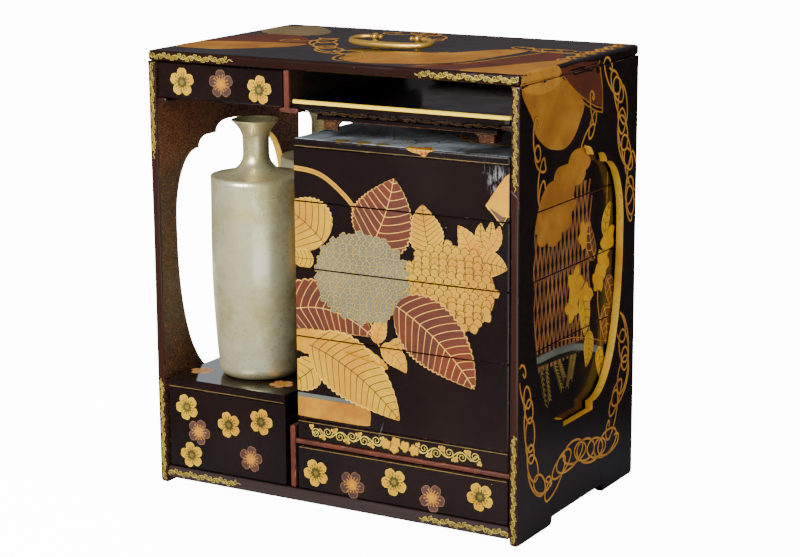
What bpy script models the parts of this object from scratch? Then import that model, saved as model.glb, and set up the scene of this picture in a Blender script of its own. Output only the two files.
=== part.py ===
# A lacquered picnic box: an open case with a bail handle, a stack of food tiers,
# two bottles on a low lidded box, two drawers and a tray hung under the top.
# Metres, +Z up, the front looks along -Y, the origin is on the floor under the middle.
import math

import bmesh
import bpy
from mathutils import Vector

MM = 0.001
GAP = 0.3 * MM

# Case boards
CASE_DEPTH = 190.0 * MM
PANEL_THICKNESS = 6.3 * MM
TOP_THICKNESS = 7.7 * MM
FLOOR_THICKNESS = 9.7 * MM
FLOOR_CLEARANCE = 4.3 * MM
PARTITION_THICKNESS = 4.4 * MM
SHELF_THICKNESS = 3.7 * MM
LEFT_BAY_WIDTH = 109.2 * MM
RIGHT_BAY_WIDTH = 173.8 * MM
LOWER_PARTITION_RISE = 13.0 * MM
FITTING_SETBACK = 1.0 * MM
BOARD_ROUND = 2.2 * MM
PANEL_ROUND = 1.6 * MM
PARTITION_ROUND = 1.2 * MM

# Rails under the upper drawer and the tray
RAIL_THICKNESS = 3.2 * MM
WALL_RAIL_WIDTH = 8.3 * MM
ARM_LEFT_WIDTH = 3.6 * MM
ARM_RIGHT_WIDTH = 7.3 * MM

# Feet cut from the side panels
FOOT_HEIGHT = 5.6 * MM
FOOT_LENGTH = 53.0 * MM
FOOT_ROUND = 2.4 * MM

# Opening in each side panel, drawn in shares of its own half width and height
OPENING_STILE = 21.7 * MM
OPENING_SILL = 68.0 * MM
OPENING_HEAD = 54.0 * MM
SILL_SHARE = 0.334
STEP_SHARE = 0.031
BELLY_SHARES = (0.625, 0.670)
LOBES = ((0.62, 0.590, 0.915), (0.437, 0.280, 0.958), (0.08, 0.0, 1.0))
FLANK_POWER = 2.2

# Drawers, boxes and tiers
BOX_SETBACK = 1.5 * MM
BOX_WALL = 3.0 * MM
BOX_FLOOR = 3.0 * MM
BOX_CORNER = 1.4 * MM
EDGE_ROUND = 0.7 * MM
TONGUE_HEIGHT = 2.5 * MM
TONGUE_THICKNESS = 1.4 * MM
TONGUE_CLEARANCE = 0.4 * MM
UPPER_DRAWER_HEIGHT = 25.3 * MM
LOWER_DRAWER_HEIGHT = 32.5 * MM
DRAWER_HEADROOM = 1.0 * MM
UPPER_DRAWER_SIDE = 1.1 * MM
LOWER_DRAWER_SIDE = 1.9 * MM
LOW_BOX_HEIGHT = 60.6 * MM
LOW_BOX_LEFT_SIDE = 1.7 * MM
LOW_BOX_RIGHT_SIDE = 4.0 * MM
LID_HEIGHT = 6.8 * MM
LID_THICKNESS = 3.0 * MM
LID_ROUND = 1.5 * MM
STACK_LEFT_SIDE = 2.3 * MM
STACK_RIGHT_SIDE = 1.3 * MM
STACK_BASE_HEIGHT = 14.6 * MM
TIER_HEIGHTS = (61.3 * MM, 49.7 * MM, 47.4 * MM, 38.0 * MM)
STACK_LID_HEIGHT = 5.9 * MM

# Tray hung under the top by its flange
TRAY_SIDE = 1.0 * MM
TRAY_RIM_HEIGHT = 6.0 * MM
TRAY_RIM_WIDTH = 3.2 * MM
TRAY_FLANGE = 8.2 * MM
TRAY_FLANGE_FRONT = 2.6 * MM
TRAY_BOWL_DEPTH = 5.6 * MM
TRAY_SLOPE_RUN = 8.3 * MM
TRAY_PLATE = 2.7 * MM
TRAY_PLATE_STEP = 1.2 * MM
TRAY_FLOOR = 2.6 * MM
TRAY_FOOT_HEIGHT = 6.9 * MM
TRAY_FOOT_INSET = 3.6 * MM
TRAY_FOOT_WALL = 2.6 * MM
TRAY_FOOT_LENGTH = 11.5 * MM
TRAY_FOOT_FLARE = 4.0 * MM
TRAY_ARCH_KNEE = 0.5
TRAY_ARCH_ROUND = 2.0 * MM
TRAY_OVER_STACK = 5.6 * MM

# Bottles
BOTTLE_DIAMETER = 67.4 * MM
BOTTLE_LEAN = 3.0 * MM
BOTTLE_HEADROOM = 18.3 * MM
BOTTLE_NECK_DIAMETER = 19.4 * MM
BOTTLE_LIP_DIAMETER = 35.4 * MM
BOTTLE_NECK_HEIGHT = 41.0 * MM
LIP_FLARE = 15.6 * MM
SHOULDER_RISE = 16.4 * MM
LIP_POWER = 2.2
SHOULDER_POWERS = (2.1, 1.7)
BODY_LEVELS = (0.42, 0.20)
BOTTLE_BASE_ROUND = 8.5 * MM
BOTTLE_BASE_INSET = 6.0 * MM
BOTTLE_WALL = 1.6 * MM
BOTTLE_STEPS = 24
POST_STEPS = 16

# Handle
PIVOT_HEIGHT = 6.2 * MM
PIVOT_SPACING = 35.4 * MM
PIVOT_SETBACK = 3.5 * MM
POST_BALL_DIAMETER = 5.8 * MM
POST_NECK_DIAMETER = 3.4 * MM
POST_FOOT_DIAMETER = 6.6 * MM
POST_FOOT_HEIGHT = 1.0 * MM
PIN_DIAMETER = 2.3 * MM
PIN_CLEARANCE = 0.35 * MM
BAIL_KNOB_DIAMETER = 3.8 * MM
BAIL_ARM_DIAMETER = 3.3 * MM
BAIL_GRIP_DIAMETER = 4.9 * MM
BAIL_REACH = 16.0 * MM
BAIL_GRIP_LENGTH = 50.0 * MM
BAIL_BOW = 0.8 * MM

# Levels and places that follow from the sizes above
CASE_WIDTH = 2 * PANEL_THICKNESS + LEFT_BAY_WIDTH + PARTITION_THICKNESS + RIGHT_BAY_WIDTH
FLOOR_TOP = FLOOR_CLEARANCE + FLOOR_THICKNESS
SHELF_BOTTOM = FLOOR_TOP + GAP + LOWER_DRAWER_HEIGHT + DRAWER_HEADROOM
SHELF_TOP = SHELF_BOTTOM + SHELF_THICKNESS
STACK_JOINTS = (len(TIER_HEIGHTS) + 2) * GAP
STACK_TOP = SHELF_TOP + STACK_BASE_HEIGHT + sum(TIER_HEIGHTS) + STACK_LID_HEIGHT + STACK_JOINTS
TRAY_HEIGHT = TRAY_FOOT_HEIGHT + TRAY_PLATE + TRAY_BOWL_DEPTH
RAIL_TOP = STACK_TOP + TRAY_OVER_STACK + TRAY_HEIGHT - GAP
HUNG_LEVEL = RAIL_TOP + GAP
TOP_BOTTOM = HUNG_LEVEL + UPPER_DRAWER_HEIGHT + DRAWER_HEADROOM
CASE_TOP = TOP_BOTTOM + TOP_THICKNESS
LEFT_WALL = -CASE_WIDTH / 2 + PANEL_THICKNESS
RIGHT_WALL = CASE_WIDTH / 2 - PANEL_THICKNESS
PARTITION_LEFT = LEFT_WALL + LEFT_BAY_WIDTH
PARTITION_RIGHT = PARTITION_LEFT + PARTITION_THICKNESS
HALF_DEPTH = CASE_DEPTH / 2
BOX_HALF_DEPTH = HALF_DEPTH - BOX_SETBACK
FITTING_HALF_DEPTH = HALF_DEPTH - FITTING_SETBACK

box_parts = bpy.data.collections.new("tiered_picnic_box")
cutters = bpy.data.collections.new("cutters")


def clear_scene():
    for thing in list(bpy.data.objects):
        bpy.data.objects.remove(thing, do_unlink=True)
    for group in (box_parts, cutters):
        bpy.context.scene.collection.children.link(group)


def finish_material(name, colour, roughness, metallic=0.0):
    material = bpy.data.materials.new(name)
    material.use_nodes = True
    shader = material.node_tree.nodes["Principled BSDF"]
    shader.inputs["Base Color"].default_value = (*colour, 1.0)
    shader.inputs["Roughness"].default_value = roughness
    shader.inputs["Metallic"].default_value = metallic
    return material


def black_lacquer(name):
    return finish_material(name, (0.019, 0.010, 0.009), 0.18)


def red_lacquer(name):
    return finish_material(name, (0.26, 0.075, 0.045), 0.3)


def brass(name):
    return finish_material(name, (0.62, 0.42, 0.13), 0.3, 1.0)


def pewter(name):
    return finish_material(name, (0.44, 0.42, 0.34), 0.42, 1.0)


def piece_from_bmesh(bm, name, material, group=box_parts):
    mesh = bpy.data.meshes.new(name)
    bmesh.ops.recalc_face_normals(bm, faces=bm.faces)
    bm.to_mesh(mesh)
    bm.free()
    piece = bpy.data.objects.new(name, mesh)
    group.objects.link(piece)
    if material:
        mesh.materials.append(material)
    else:
        hide_cutter(piece)
    return piece


def hide_cutter(piece):
    piece.hide_render = True
    piece.display_type = "WIRE"


def round_edges(piece, radius, segments=3):
    bevel = piece.modifiers.new("round edges", "BEVEL")
    bevel.width = radius
    bevel.segments = segments
    bevel.limit_method = "ANGLE"
    bevel.angle_limit = math.radians(50)


def combine(piece, other, operation):
    boolean = piece.modifiers.new(other.name, "BOOLEAN")
    boolean.operation = operation
    boolean.object = other
    boolean.solver = "EXACT"


def board(name, low, high, material, radius=0.0, group=box_parts):
    # A rectangular board between two corners, standing at its own middle.
    low, high = Vector(low), Vector(high)
    bm = bmesh.new()
    bmesh.ops.create_cube(bm, size=1.0)
    bmesh.ops.scale(bm, vec=high - low, verts=bm.verts)
    piece = piece_from_bmesh(bm, name, material, group)
    piece.location = (low + high) / 2
    if radius:
        round_edges(piece, radius)
    return piece


def rounded_outline(corners, steps=5):
    # Corners are (x, y, radius); each radius becomes an arc that touches both of its sides.
    points = []
    for index, (x, y, radius) in enumerate(corners):
        corner = Vector((x, y))
        if radius == 0:
            points.append(corner)
            continue
        before = (Vector(corners[index - 1][:2]) - corner).normalized()
        after = (Vector(corners[(index + 1) % len(corners)][:2]) - corner).normalized()
        half_angle = before.angle(after) / 2
        centre = corner + (before + after).normalized() * radius / math.sin(half_angle)
        start = corner + before * radius / math.tan(half_angle) - centre
        turn = start.angle_signed(corner + after * radius / math.tan(half_angle) - centre)
        for step in range(steps + 1):
            angle = -turn * step / steps
            cosine, sine = math.cos(angle), math.sin(angle)
            arm = Vector((start.x * cosine - start.y * sine, start.x * sine + start.y * cosine))
            points.append(centre + arm)
    return points


def flat_outline(name, outline, thickness, material, group=box_parts):
    # A filled outline given thickness, made a mesh with its caps joined on.
    curve = bpy.data.curves.new(name, "CURVE")
    curve.dimensions = "2D"
    curve.fill_mode = "BOTH"
    curve.extrude = thickness / 2
    spline = curve.splines.new("POLY")
    spline.points.add(len(outline) - 1)
    for point, place in zip(spline.points, outline):
        point.co = (place[0], place[1], 0.0, 1.0)
    spline.use_cyclic_u = True
    drawn = bpy.data.objects.new(name + " outline", curve)
    bpy.context.scene.collection.objects.link(drawn)
    graph = bpy.context.evaluated_depsgraph_get()
    bm = bmesh.new()
    bm.from_mesh(bpy.data.meshes.new_from_object(drawn.evaluated_get(graph)))
    bpy.data.objects.remove(drawn, do_unlink=True)
    bmesh.ops.remove_doubles(bm, verts=bm.verts, dist=0.01 * MM)
    bmesh.ops.dissolve_limit(bm, angle_limit=math.radians(0.5), verts=bm.verts, edges=bm.edges)
    return piece_from_bmesh(bm, name, material, group)


def rectangle_ring(low, high, inset_x, inset_y, height, corner):
    # A rectangle with rounded corners, three points to a corner.
    radius = max(corner - max(inset_x, inset_y), EDGE_ROUND / 2)
    points = []
    for quarter in range(4):
        side_x = 1 if quarter in (0, 3) else -1
        side_y = 1 if quarter in (0, 1) else -1
        edge_x = high[0] - inset_x if side_x > 0 else low[0] + inset_x
        edge_y = high[1] - inset_y if side_y > 0 else low[1] + inset_y
        for step in range(3):
            angle = math.pi / 2 * (quarter + step / 2)
            x = edge_x + radius * (math.cos(angle) - side_x)
            y = edge_y + radius * (math.sin(angle) - side_y)
            points.append(Vector((x, y, height)))
    return points


def carried_profile(name, low, high, profile, material, corner=BOX_CORNER):
    # A profile of (inset along X, inset along Y, height) carried round a rectangle,
    # from the flat underside up the outside, over the rim and down to the inner floor.
    bm = bmesh.new()
    loops = [[bm.verts.new(point) for point in rectangle_ring(low, high, *step, corner)]
             for step in profile]
    for lower, upper in zip(loops, loops[1:]):
        for index in range(len(lower)):
            bm.faces.new((lower[index - 1], lower[index], upper[index], upper[index - 1]))
    bm.faces.new(reversed(loops[0]))
    bm.faces.new(loops[-1])
    return piece_from_bmesh(bm, name, material)


def even(profile):
    return [(inset, inset, height) for inset, height in profile]


def open_box_profile(bottom, top):
    return even([
        (EDGE_ROUND, bottom),
        (0.0, bottom + EDGE_ROUND),
        (0.0, top - EDGE_ROUND),
        (EDGE_ROUND, top),
        (BOX_WALL - EDGE_ROUND, top),
        (BOX_WALL, top - EDGE_ROUND),
        (BOX_WALL, bottom + BOX_FLOOR),
    ])


def tongue_profile(bottom, top, rebated):
    # A box whose rim carries a tongue for the piece above, and whose underside can be
    # hollowed to sit over the tongue of the piece below.
    skirt = BOX_WALL - TONGUE_THICKNESS - TONGUE_CLEARANCE
    recess = TONGUE_HEIGHT + GAP if rebated else 0.0
    underside = [(skirt, bottom + recess), (skirt, bottom)] if rebated else []
    return even(underside + [
        (EDGE_ROUND, bottom),
        (0.0, bottom + EDGE_ROUND),
        (0.0, top - EDGE_ROUND),
        (EDGE_ROUND, top),
        (BOX_WALL - TONGUE_THICKNESS, top),
        (BOX_WALL - TONGUE_THICKNESS, top + TONGUE_HEIGHT),
        (BOX_WALL, top + TONGUE_HEIGHT),
        (BOX_WALL, bottom + recess + BOX_FLOOR),
    ])


def lid_profile(bottom, top):
    skirt = BOX_WALL - TONGUE_THICKNESS - TONGUE_CLEARANCE
    rounding = []
    for step in range(4):
        angle = math.pi / 2 * step / 3
        inset = LID_ROUND * (1 - math.cos(angle))
        rounding.append((inset, top - LID_ROUND * (1 - math.sin(angle))))
    return even([
        (skirt, top - LID_THICKNESS),
        (skirt, bottom),
        (EDGE_ROUND / 2, bottom),
        (0.0, bottom + EDGE_ROUND / 2),
    ] + rounding)


def opening_outline():
    # Half the cusped opening in shares of its half width and height, then mirrored:
    # a stepped sill, a swelling flank and three lobes that rise to the middle.
    half_width = HALF_DEPTH - OPENING_STILE
    height = TOP_BOTTOM - OPENING_HEAD - OPENING_SILL
    half = [(SILL_SHARE, 0.0)]
    for step in range(11):
        angle = math.pi / 2 * step / 10
        across = SILL_SHARE + (1 - SILL_SHARE) * math.sin(angle) ** (2 / FLANK_POWER)
        drop = (BELLY_SHARES[0] - STEP_SHARE) * math.cos(angle) ** (2 / FLANK_POWER)
        half.append((across, BELLY_SHARES[0] - drop))
    outer, springing = 1.0, BELLY_SHARES[1]
    for flat, cusp, crown in LOBES:
        for step in range(6):
            angle = math.pi / 2 * step / 5
            across = flat + (outer - flat) * math.cos(angle)
            half.append((across, springing + (crown - springing) * math.sin(angle)))
        half.append((cusp, crown))
        outer, springing = cusp, crown
    right = [(across * half_width, OPENING_SILL + rise * height) for across, rise in half]
    left = [(-across, rise) for across, rise in reversed(right[:-1])]
    return right + left


def side_panel(name, side):
    inner = HALF_DEPTH - FOOT_LENGTH
    spare = 2 * BOARD_ROUND
    outline = rounded_outline([
        (-HALF_DEPTH, 0.0, FOOT_ROUND),
        (-inner, 0.0, FOOT_ROUND),
        (-inner, FOOT_HEIGHT, FOOT_ROUND),
        (inner, FOOT_HEIGHT, FOOT_ROUND),
        (inner, 0.0, FOOT_ROUND),
        (HALF_DEPTH, 0.0, FOOT_ROUND),
        (HALF_DEPTH, TOP_BOTTOM + spare, 0.0),
        (-HALF_DEPTH, TOP_BOTTOM + spare, 0.0),
    ])
    middle = side * (CASE_WIDTH - PANEL_THICKNESS) / 2
    stand = (math.radians(90), 0.0, math.radians(90))
    panel = flat_outline(name, outline, PANEL_THICKNESS, black_lacquer(name + " lacquer"))
    panel.rotation_euler = stand
    panel.location.x = middle
    round_edges(panel, PANEL_ROUND)
    window = flat_outline(name + " opening", opening_outline(), 2 * PANEL_THICKNESS, None, cutters)
    window.rotation_euler = stand
    window.location.x = middle
    low = (middle - PANEL_THICKNESS, -CASE_DEPTH, TOP_BOTTOM - GAP)
    high = (middle + PANEL_THICKNESS, CASE_DEPTH, TOP_BOTTOM + 2 * spare)
    top_trim = board(name + " trim", low, high, None, group=cutters)
    combine(panel, window, "DIFFERENCE")
    combine(panel, top_trim, "DIFFERENCE")


def lengthwise(name, outline, half_length, material, radius):
    # An outline in X and Z run from front to back.
    piece = flat_outline(name, outline, 2 * half_length, material)
    piece.rotation_euler = (math.radians(90), 0.0, 0.0)
    if radius:
        round_edges(piece, radius, 2)
    return piece


def case_boards():
    half_width = CASE_WIDTH / 2
    board("case_top", (-half_width, -HALF_DEPTH, TOP_BOTTOM), (half_width, HALF_DEPTH, CASE_TOP),
          black_lacquer("top lacquer"), BOARD_ROUND)
    board("case_bottom",
          (LEFT_WALL + GAP, -HALF_DEPTH, FLOOR_CLEARANCE),
          (RIGHT_WALL - GAP, HALF_DEPTH, FLOOR_TOP),
          black_lacquer("bottom lacquer"), BOARD_ROUND)
    side_panel("case_side_left", -1)
    side_panel("case_side_right", 1)
    board("shelf",
          (PARTITION_RIGHT + GAP, -FITTING_HALF_DEPTH, SHELF_BOTTOM),
          (RIGHT_WALL - GAP, FITTING_HALF_DEPTH, SHELF_TOP),
          red_lacquer("shelf lacquer"), PARTITION_ROUND)
    board("lower_partition",
          (PARTITION_LEFT, -FITTING_HALF_DEPTH, FLOOR_TOP + GAP),
          (PARTITION_RIGHT, FITTING_HALF_DEPTH, SHELF_BOTTOM + LOWER_PARTITION_RISE),
          red_lacquer("lower partition lacquer"), PARTITION_ROUND)


def upper_partition():
    # An inverted T: the arms carry the drawer on the left and the tray on the right.
    low, high = RAIL_TOP - RAIL_THICKNESS, TOP_BOTTOM - GAP
    tip = RAIL_THICKNESS * 0.4
    outline = rounded_outline([
        (PARTITION_LEFT - ARM_LEFT_WIDTH, low, tip),
        (PARTITION_RIGHT + ARM_RIGHT_WIDTH, low, tip),
        (PARTITION_RIGHT + ARM_RIGHT_WIDTH, RAIL_TOP, tip),
        (PARTITION_RIGHT, RAIL_TOP, 0.0),
        (PARTITION_RIGHT, high, 0.0),
        (PARTITION_LEFT, high, 0.0),
        (PARTITION_LEFT, RAIL_TOP, 0.0),
        (PARTITION_LEFT - ARM_LEFT_WIDTH, RAIL_TOP, tip),
    ], steps=3)
    lengthwise("upper_partition", outline, FITTING_HALF_DEPTH,
               red_lacquer("upper partition lacquer"), EDGE_ROUND)


def wall_rail(name, wall, side):
    low = RAIL_TOP - RAIL_THICKNESS
    near, far = wall - side * GAP, wall - side * WALL_RAIL_WIDTH
    tip = RAIL_THICKNESS * 0.4
    corners = [(near, low, 0.0), (far, low, tip), (far, RAIL_TOP, tip), (near, RAIL_TOP, 0.0)]
    lengthwise(name, rounded_outline(corners, steps=3), FITTING_HALF_DEPTH,
               red_lacquer(name + " lacquer"), EDGE_ROUND)


def drawers_and_low_box():
    low = (LEFT_WALL + UPPER_DRAWER_SIDE, -BOX_HALF_DEPTH)
    high = (PARTITION_LEFT - UPPER_DRAWER_SIDE, BOX_HALF_DEPTH)
    carried_profile("upper_drawer", low, high,
                    open_box_profile(HUNG_LEVEL, HUNG_LEVEL + UPPER_DRAWER_HEIGHT),
                    black_lacquer("upper drawer lacquer"))
    low = (PARTITION_RIGHT + LOWER_DRAWER_SIDE, -BOX_HALF_DEPTH)
    high = (RIGHT_WALL - LOWER_DRAWER_SIDE, BOX_HALF_DEPTH)
    carried_profile("lower_drawer", low, high,
                    open_box_profile(FLOOR_TOP + GAP, FLOOR_TOP + GAP + LOWER_DRAWER_HEIGHT),
                    black_lacquer("lower drawer lacquer"))
    low = (LEFT_WALL + LOW_BOX_LEFT_SIDE, -BOX_HALF_DEPTH)
    high = (PARTITION_LEFT - LOW_BOX_RIGHT_SIDE, BOX_HALF_DEPTH)
    rim = FLOOR_TOP + GAP + LOW_BOX_HEIGHT
    carried_profile("low_box", low, high, tongue_profile(FLOOR_TOP + GAP, rim, False),
                    black_lacquer("low box lacquer"))
    carried_profile("low_box_lid", low, high, lid_profile(rim + GAP, rim + GAP + LID_HEIGHT),
                    black_lacquer("low box lid lacquer"))
    return rim + GAP + LID_HEIGHT


def stack_of_tiers():
    low = (PARTITION_RIGHT + STACK_LEFT_SIDE, -BOX_HALF_DEPTH)
    high = (RIGHT_WALL - STACK_RIGHT_SIDE, BOX_HALF_DEPTH)
    bottom = SHELF_TOP + GAP
    carried_profile("stack_base", low, high,
                    tongue_profile(bottom, bottom + STACK_BASE_HEIGHT, False),
                    black_lacquer("stack base lacquer"))
    bottom += STACK_BASE_HEIGHT + GAP
    for number, height in zip(range(len(TIER_HEIGHTS), 0, -1), TIER_HEIGHTS):
        carried_profile(f"tier_{number}", low, high,
                        tongue_profile(bottom, bottom + height, True),
                        black_lacquer(f"tier {number} lacquer"))
        bottom += height + GAP
    carried_profile("stack_lid", low, high, lid_profile(bottom, bottom + STACK_LID_HEIGHT),
                    black_lacquer("stack lid lacquer"))


def cup_tray():
    low = (PARTITION_RIGHT + TRAY_SIDE, -HALF_DEPTH + FITTING_SETBACK)
    high = (RIGHT_WALL - TRAY_SIDE, HALF_DEPTH - FITTING_SETBACK)
    rim = HUNG_LEVEL + TRAY_RIM_HEIGHT
    plate_top = HUNG_LEVEL - TRAY_BOWL_DEPTH
    plate_bottom = plate_top - TRAY_PLATE
    side_x, side_y = TRAY_FLANGE + TRAY_SLOPE_RUN, TRAY_FLANGE_FRONT + TRAY_SLOPE_RUN
    plate_x, plate_y = side_x - TRAY_PLATE_STEP, side_y - TRAY_PLATE_STEP
    floor = plate_bottom + TRAY_PLATE + TRAY_FLOOR
    tray = carried_profile("cup_tray", low, high, [
        (plate_x, plate_y, plate_bottom),
        (plate_x, plate_y, plate_top),
        (side_x, side_y, plate_top),
        (TRAY_FLANGE, TRAY_FLANGE_FRONT, HUNG_LEVEL),
        (EDGE_ROUND, EDGE_ROUND, HUNG_LEVEL),
        (0.0, 0.0, HUNG_LEVEL + EDGE_ROUND),
        (0.0, 0.0, rim - EDGE_ROUND),
        (EDGE_ROUND, EDGE_ROUND, rim),
        (TRAY_RIM_WIDTH - EDGE_ROUND, TRAY_RIM_WIDTH - EDGE_ROUND, rim),
        (TRAY_RIM_WIDTH, TRAY_RIM_WIDTH, rim - EDGE_ROUND),
        (side_x + TRAY_RIM_WIDTH, side_y + TRAY_RIM_WIDTH, floor),
    ], black_lacquer("tray lacquer"), corner=3 * BOX_CORNER)
    foot_x, foot_y = plate_x + TRAY_FOOT_INSET, plate_y + TRAY_FOOT_INSET
    outer_low = Vector((low[0] + foot_x, low[1] + foot_y, plate_bottom - TRAY_FOOT_HEIGHT))
    outer_high = Vector((high[0] - foot_x, high[1] - foot_y, plate_bottom + TRAY_PLATE / 2))
    wall = Vector((TRAY_FOOT_WALL, TRAY_FOOT_WALL, -TRAY_PLATE))
    skirt = board("tray skirt", outer_low, outer_high, None, group=cutters)
    hollow = board("tray skirt hollow", outer_low + wall, outer_high - wall, None, group=cutters)
    combine(skirt, hollow, "DIFFERENCE")
    middle = (outer_low + outer_high) / 2
    arch_low, arch_knee = -TRAY_FOOT_HEIGHT - TRAY_PLATE, -TRAY_FOOT_HEIGHT * TRAY_ARCH_KNEE
    for axis, name in ((0, "front arch"), (1, "side arch")):
        half_span = (outer_high[axis] - outer_low[axis]) / 2 - TRAY_FOOT_LENGTH
        across = outer_high[1 - axis] - outer_low[1 - axis]
        arch = flat_outline("tray " + name, rounded_outline([
            (-half_span, arch_low, 0.0),
            (half_span, arch_low, 0.0),
            (half_span, arch_knee, TRAY_ARCH_ROUND),
            (half_span - TRAY_FOOT_FLARE, 0.0, TRAY_ARCH_ROUND),
            (-half_span + TRAY_FOOT_FLARE, 0.0, TRAY_ARCH_ROUND),
            (-half_span, arch_knee, TRAY_ARCH_ROUND),
        ], steps=3), across + 2 * TRAY_PLATE, None, cutters)
        arch.rotation_euler = (math.radians(90), 0.0, math.radians(90) * axis)
        arch.location = (middle.x, middle.y, plate_bottom)
        combine(skirt, arch, "DIFFERENCE")
    combine(tray, skirt, "UNION")


def turned(name, profile, steps, material):
    # A profile of (radius, height) in the XZ plane, top to bottom, turned about Z.
    bm = bmesh.new()
    verts = [bm.verts.new((radius, 0.0, height)) for radius, height in profile]
    for upper, lower in zip(verts, verts[1:]):
        bm.edges.new((upper, lower))
    mesh = bpy.data.meshes.new(name)
    bm.to_mesh(mesh)
    bm.free()
    mesh.materials.append(material)
    piece = bpy.data.objects.new(name, mesh)
    box_parts.objects.link(piece)
    screw = piece.modifiers.new("turn", "SCREW")
    screw.steps = steps
    screw.render_steps = steps
    screw.use_merge_vertices = True
    screw.merge_threshold = 0.01 * MM
    screw.use_smooth_shade = True
    return piece


def bottle_outside(height):
    # Radius and height down the outside: lip, neck, sloping shoulder, body and rounded base.
    lip, neck, body = BOTTLE_LIP_DIAMETER / 2, BOTTLE_NECK_DIAMETER / 2, BOTTLE_DIAMETER / 2
    shoulder = height - BOTTLE_NECK_HEIGHT
    foot = body - BOTTLE_LEAN
    profile = []
    for step in range(5):
        share = step / 4
        flare = (lip - neck) * (1 - share) ** LIP_POWER
        profile.append((neck + flare, height - LIP_FLARE * share))
    for step in range(7):
        share = step / 6
        radius = neck + (body - neck) * share ** SHOULDER_POWERS[0]
        profile.append((radius, shoulder + SHOULDER_RISE * (1 - share) ** SHOULDER_POWERS[1]))
    profile.append((body, shoulder - BOTTLE_BASE_ROUND / 2))
    profile.append((body + BOTTLE_LEAN / 6, height * BODY_LEVELS[0]))
    profile.append((body - BOTTLE_LEAN / 3, height * BODY_LEVELS[1]))
    for step in range(4):
        angle = math.pi / 2 * step / 3
        inset = BOTTLE_BASE_INSET * (1 - math.cos(angle))
        profile.append((foot - inset, BOTTLE_BASE_ROUND * (1 - math.sin(angle))))
    return profile


def bottle(name, base, y):
    height = HUNG_LEVEL - BOTTLE_HEADROOM - base
    outside = bottle_outside(height)
    floor = 1.5 * BOTTLE_WALL
    inside = [(radius - BOTTLE_WALL, level - BOTTLE_WALL / 2) for radius, level in outside[2:-2:2]]
    profile = [(0.0, floor), (outside[-1][0], floor)] + inside[::-1]
    profile.append((outside[0][0] - BOTTLE_WALL, outside[0][1]))
    profile += outside + [(0.0, 0.0)]
    piece = turned(name, profile, BOTTLE_STEPS, pewter(name + " pewter"))
    middle = (LEFT_WALL + LOW_BOX_LEFT_SIDE + PARTITION_LEFT - LOW_BOX_RIGHT_SIDE) / 2
    piece.location = (middle, y, base)


def handle_post(name, x):
    ball, neck = POST_BALL_DIAMETER / 2, POST_NECK_DIAMETER / 2
    foot = POST_FOOT_DIAMETER / 2
    sink = math.asin(neck / ball)
    profile = []
    for step in range(8):
        angle = (math.pi - sink) * step / 7
        profile.append((ball * math.sin(angle), ball * math.cos(angle)))
    base = -PIVOT_HEIGHT + GAP
    profile += [(foot, base + POST_FOOT_HEIGHT), (foot, base), (0.0, base)]
    post = turned(name, profile, POST_STEPS, brass(name + " brass"))
    post.location = (x, PIVOT_SETBACK, CASE_TOP + PIVOT_HEIGHT)
    bm = bmesh.new()
    eye = PIN_DIAMETER / 2 + PIN_CLEARANCE
    bmesh.ops.create_cone(bm, cap_ends=True, segments=16, radius1=eye, radius2=eye,
                          depth=2 * POST_BALL_DIAMETER)
    drill = piece_from_bmesh(bm, name + " eye", None, cutters)
    drill.rotation_euler = (0.0, math.radians(90), 0.0)
    drill.location = post.location
    combine(post, drill, "DIFFERENCE")


def bail_path():
    # Half of the bail from its knob to the middle of the grip, as (x, reach, radius).
    knob, pin = BAIL_KNOB_DIAMETER / 2, PIN_DIAMETER / 2
    arm, grip = BAIL_ARM_DIAMETER / 2, BAIL_GRIP_DIAMETER / 2
    eye = PIVOT_SPACING / 2
    ball = POST_BALL_DIAMETER / 2
    knob_middle = eye - ball - knob
    knob_end = math.asin(pin / knob)
    half = []
    for step in range(7):
        angle = math.pi + (knob_end - math.pi) * step / 6
        radius = max(knob * math.sin(angle), pin / 6)
        half.append((knob_middle + knob * math.cos(angle), 0.0, radius))
    half.append((eye + ball + GAP, 0.0, pin))
    straight = BAIL_GRIP_LENGTH / 2
    half.append((eye + ball + 2 * GAP, 0.0, (pin + arm) / 2))
    turn = BAIL_REACH / 2
    for step in range(9):
        angle = math.pi * step / 8
        half.append((straight + turn * math.sin(angle), turn * (1 - math.cos(angle)), arm))
    for step in range(1, 7):
        share = step / 6
        swell = math.sin(math.pi / 2 * share)
        reach = BAIL_REACH + BAIL_BOW * swell
        half.append((straight * (1 - share), reach, arm + (grip - arm) * swell))
    return half


def handle_bail():
    # The bail rests with its grip just clear of the top board, and turns about the pins.
    half = bail_path()
    whole = half + [(-x, reach, radius) for x, reach, radius in reversed(half[:-1])]
    drop = PIVOT_HEIGHT - GAP - BAIL_GRIP_DIAMETER / 2
    slope = math.asin(drop / (BAIL_REACH + BAIL_BOW))
    curve = bpy.data.curves.new("handle_bail", "CURVE")
    curve.dimensions = "3D"
    curve.bevel_depth = 1.0
    curve.bevel_resolution = 2
    curve.use_fill_caps = True
    spline = curve.splines.new("POLY")
    spline.points.add(len(whole) - 1)
    spline.use_smooth = True
    for point, (x, reach, radius) in zip(spline.points, whole):
        point.co = (x, -reach * math.cos(slope), -reach * math.sin(slope), 1.0)
        point.radius = radius
    curve.materials.append(brass("bail brass"))
    bail = bpy.data.objects.new("handle_bail", curve)
    bail.location = (0.0, PIVOT_SETBACK, CASE_TOP + PIVOT_HEIGHT)
    box_parts.objects.link(bail)


def shade_smooth():
    for piece in box_parts.objects:
        if piece.type == "MESH":
            piece.data.shade_smooth()
            piece.data.set_sharp_from_angle(angle=math.radians(30))


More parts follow.
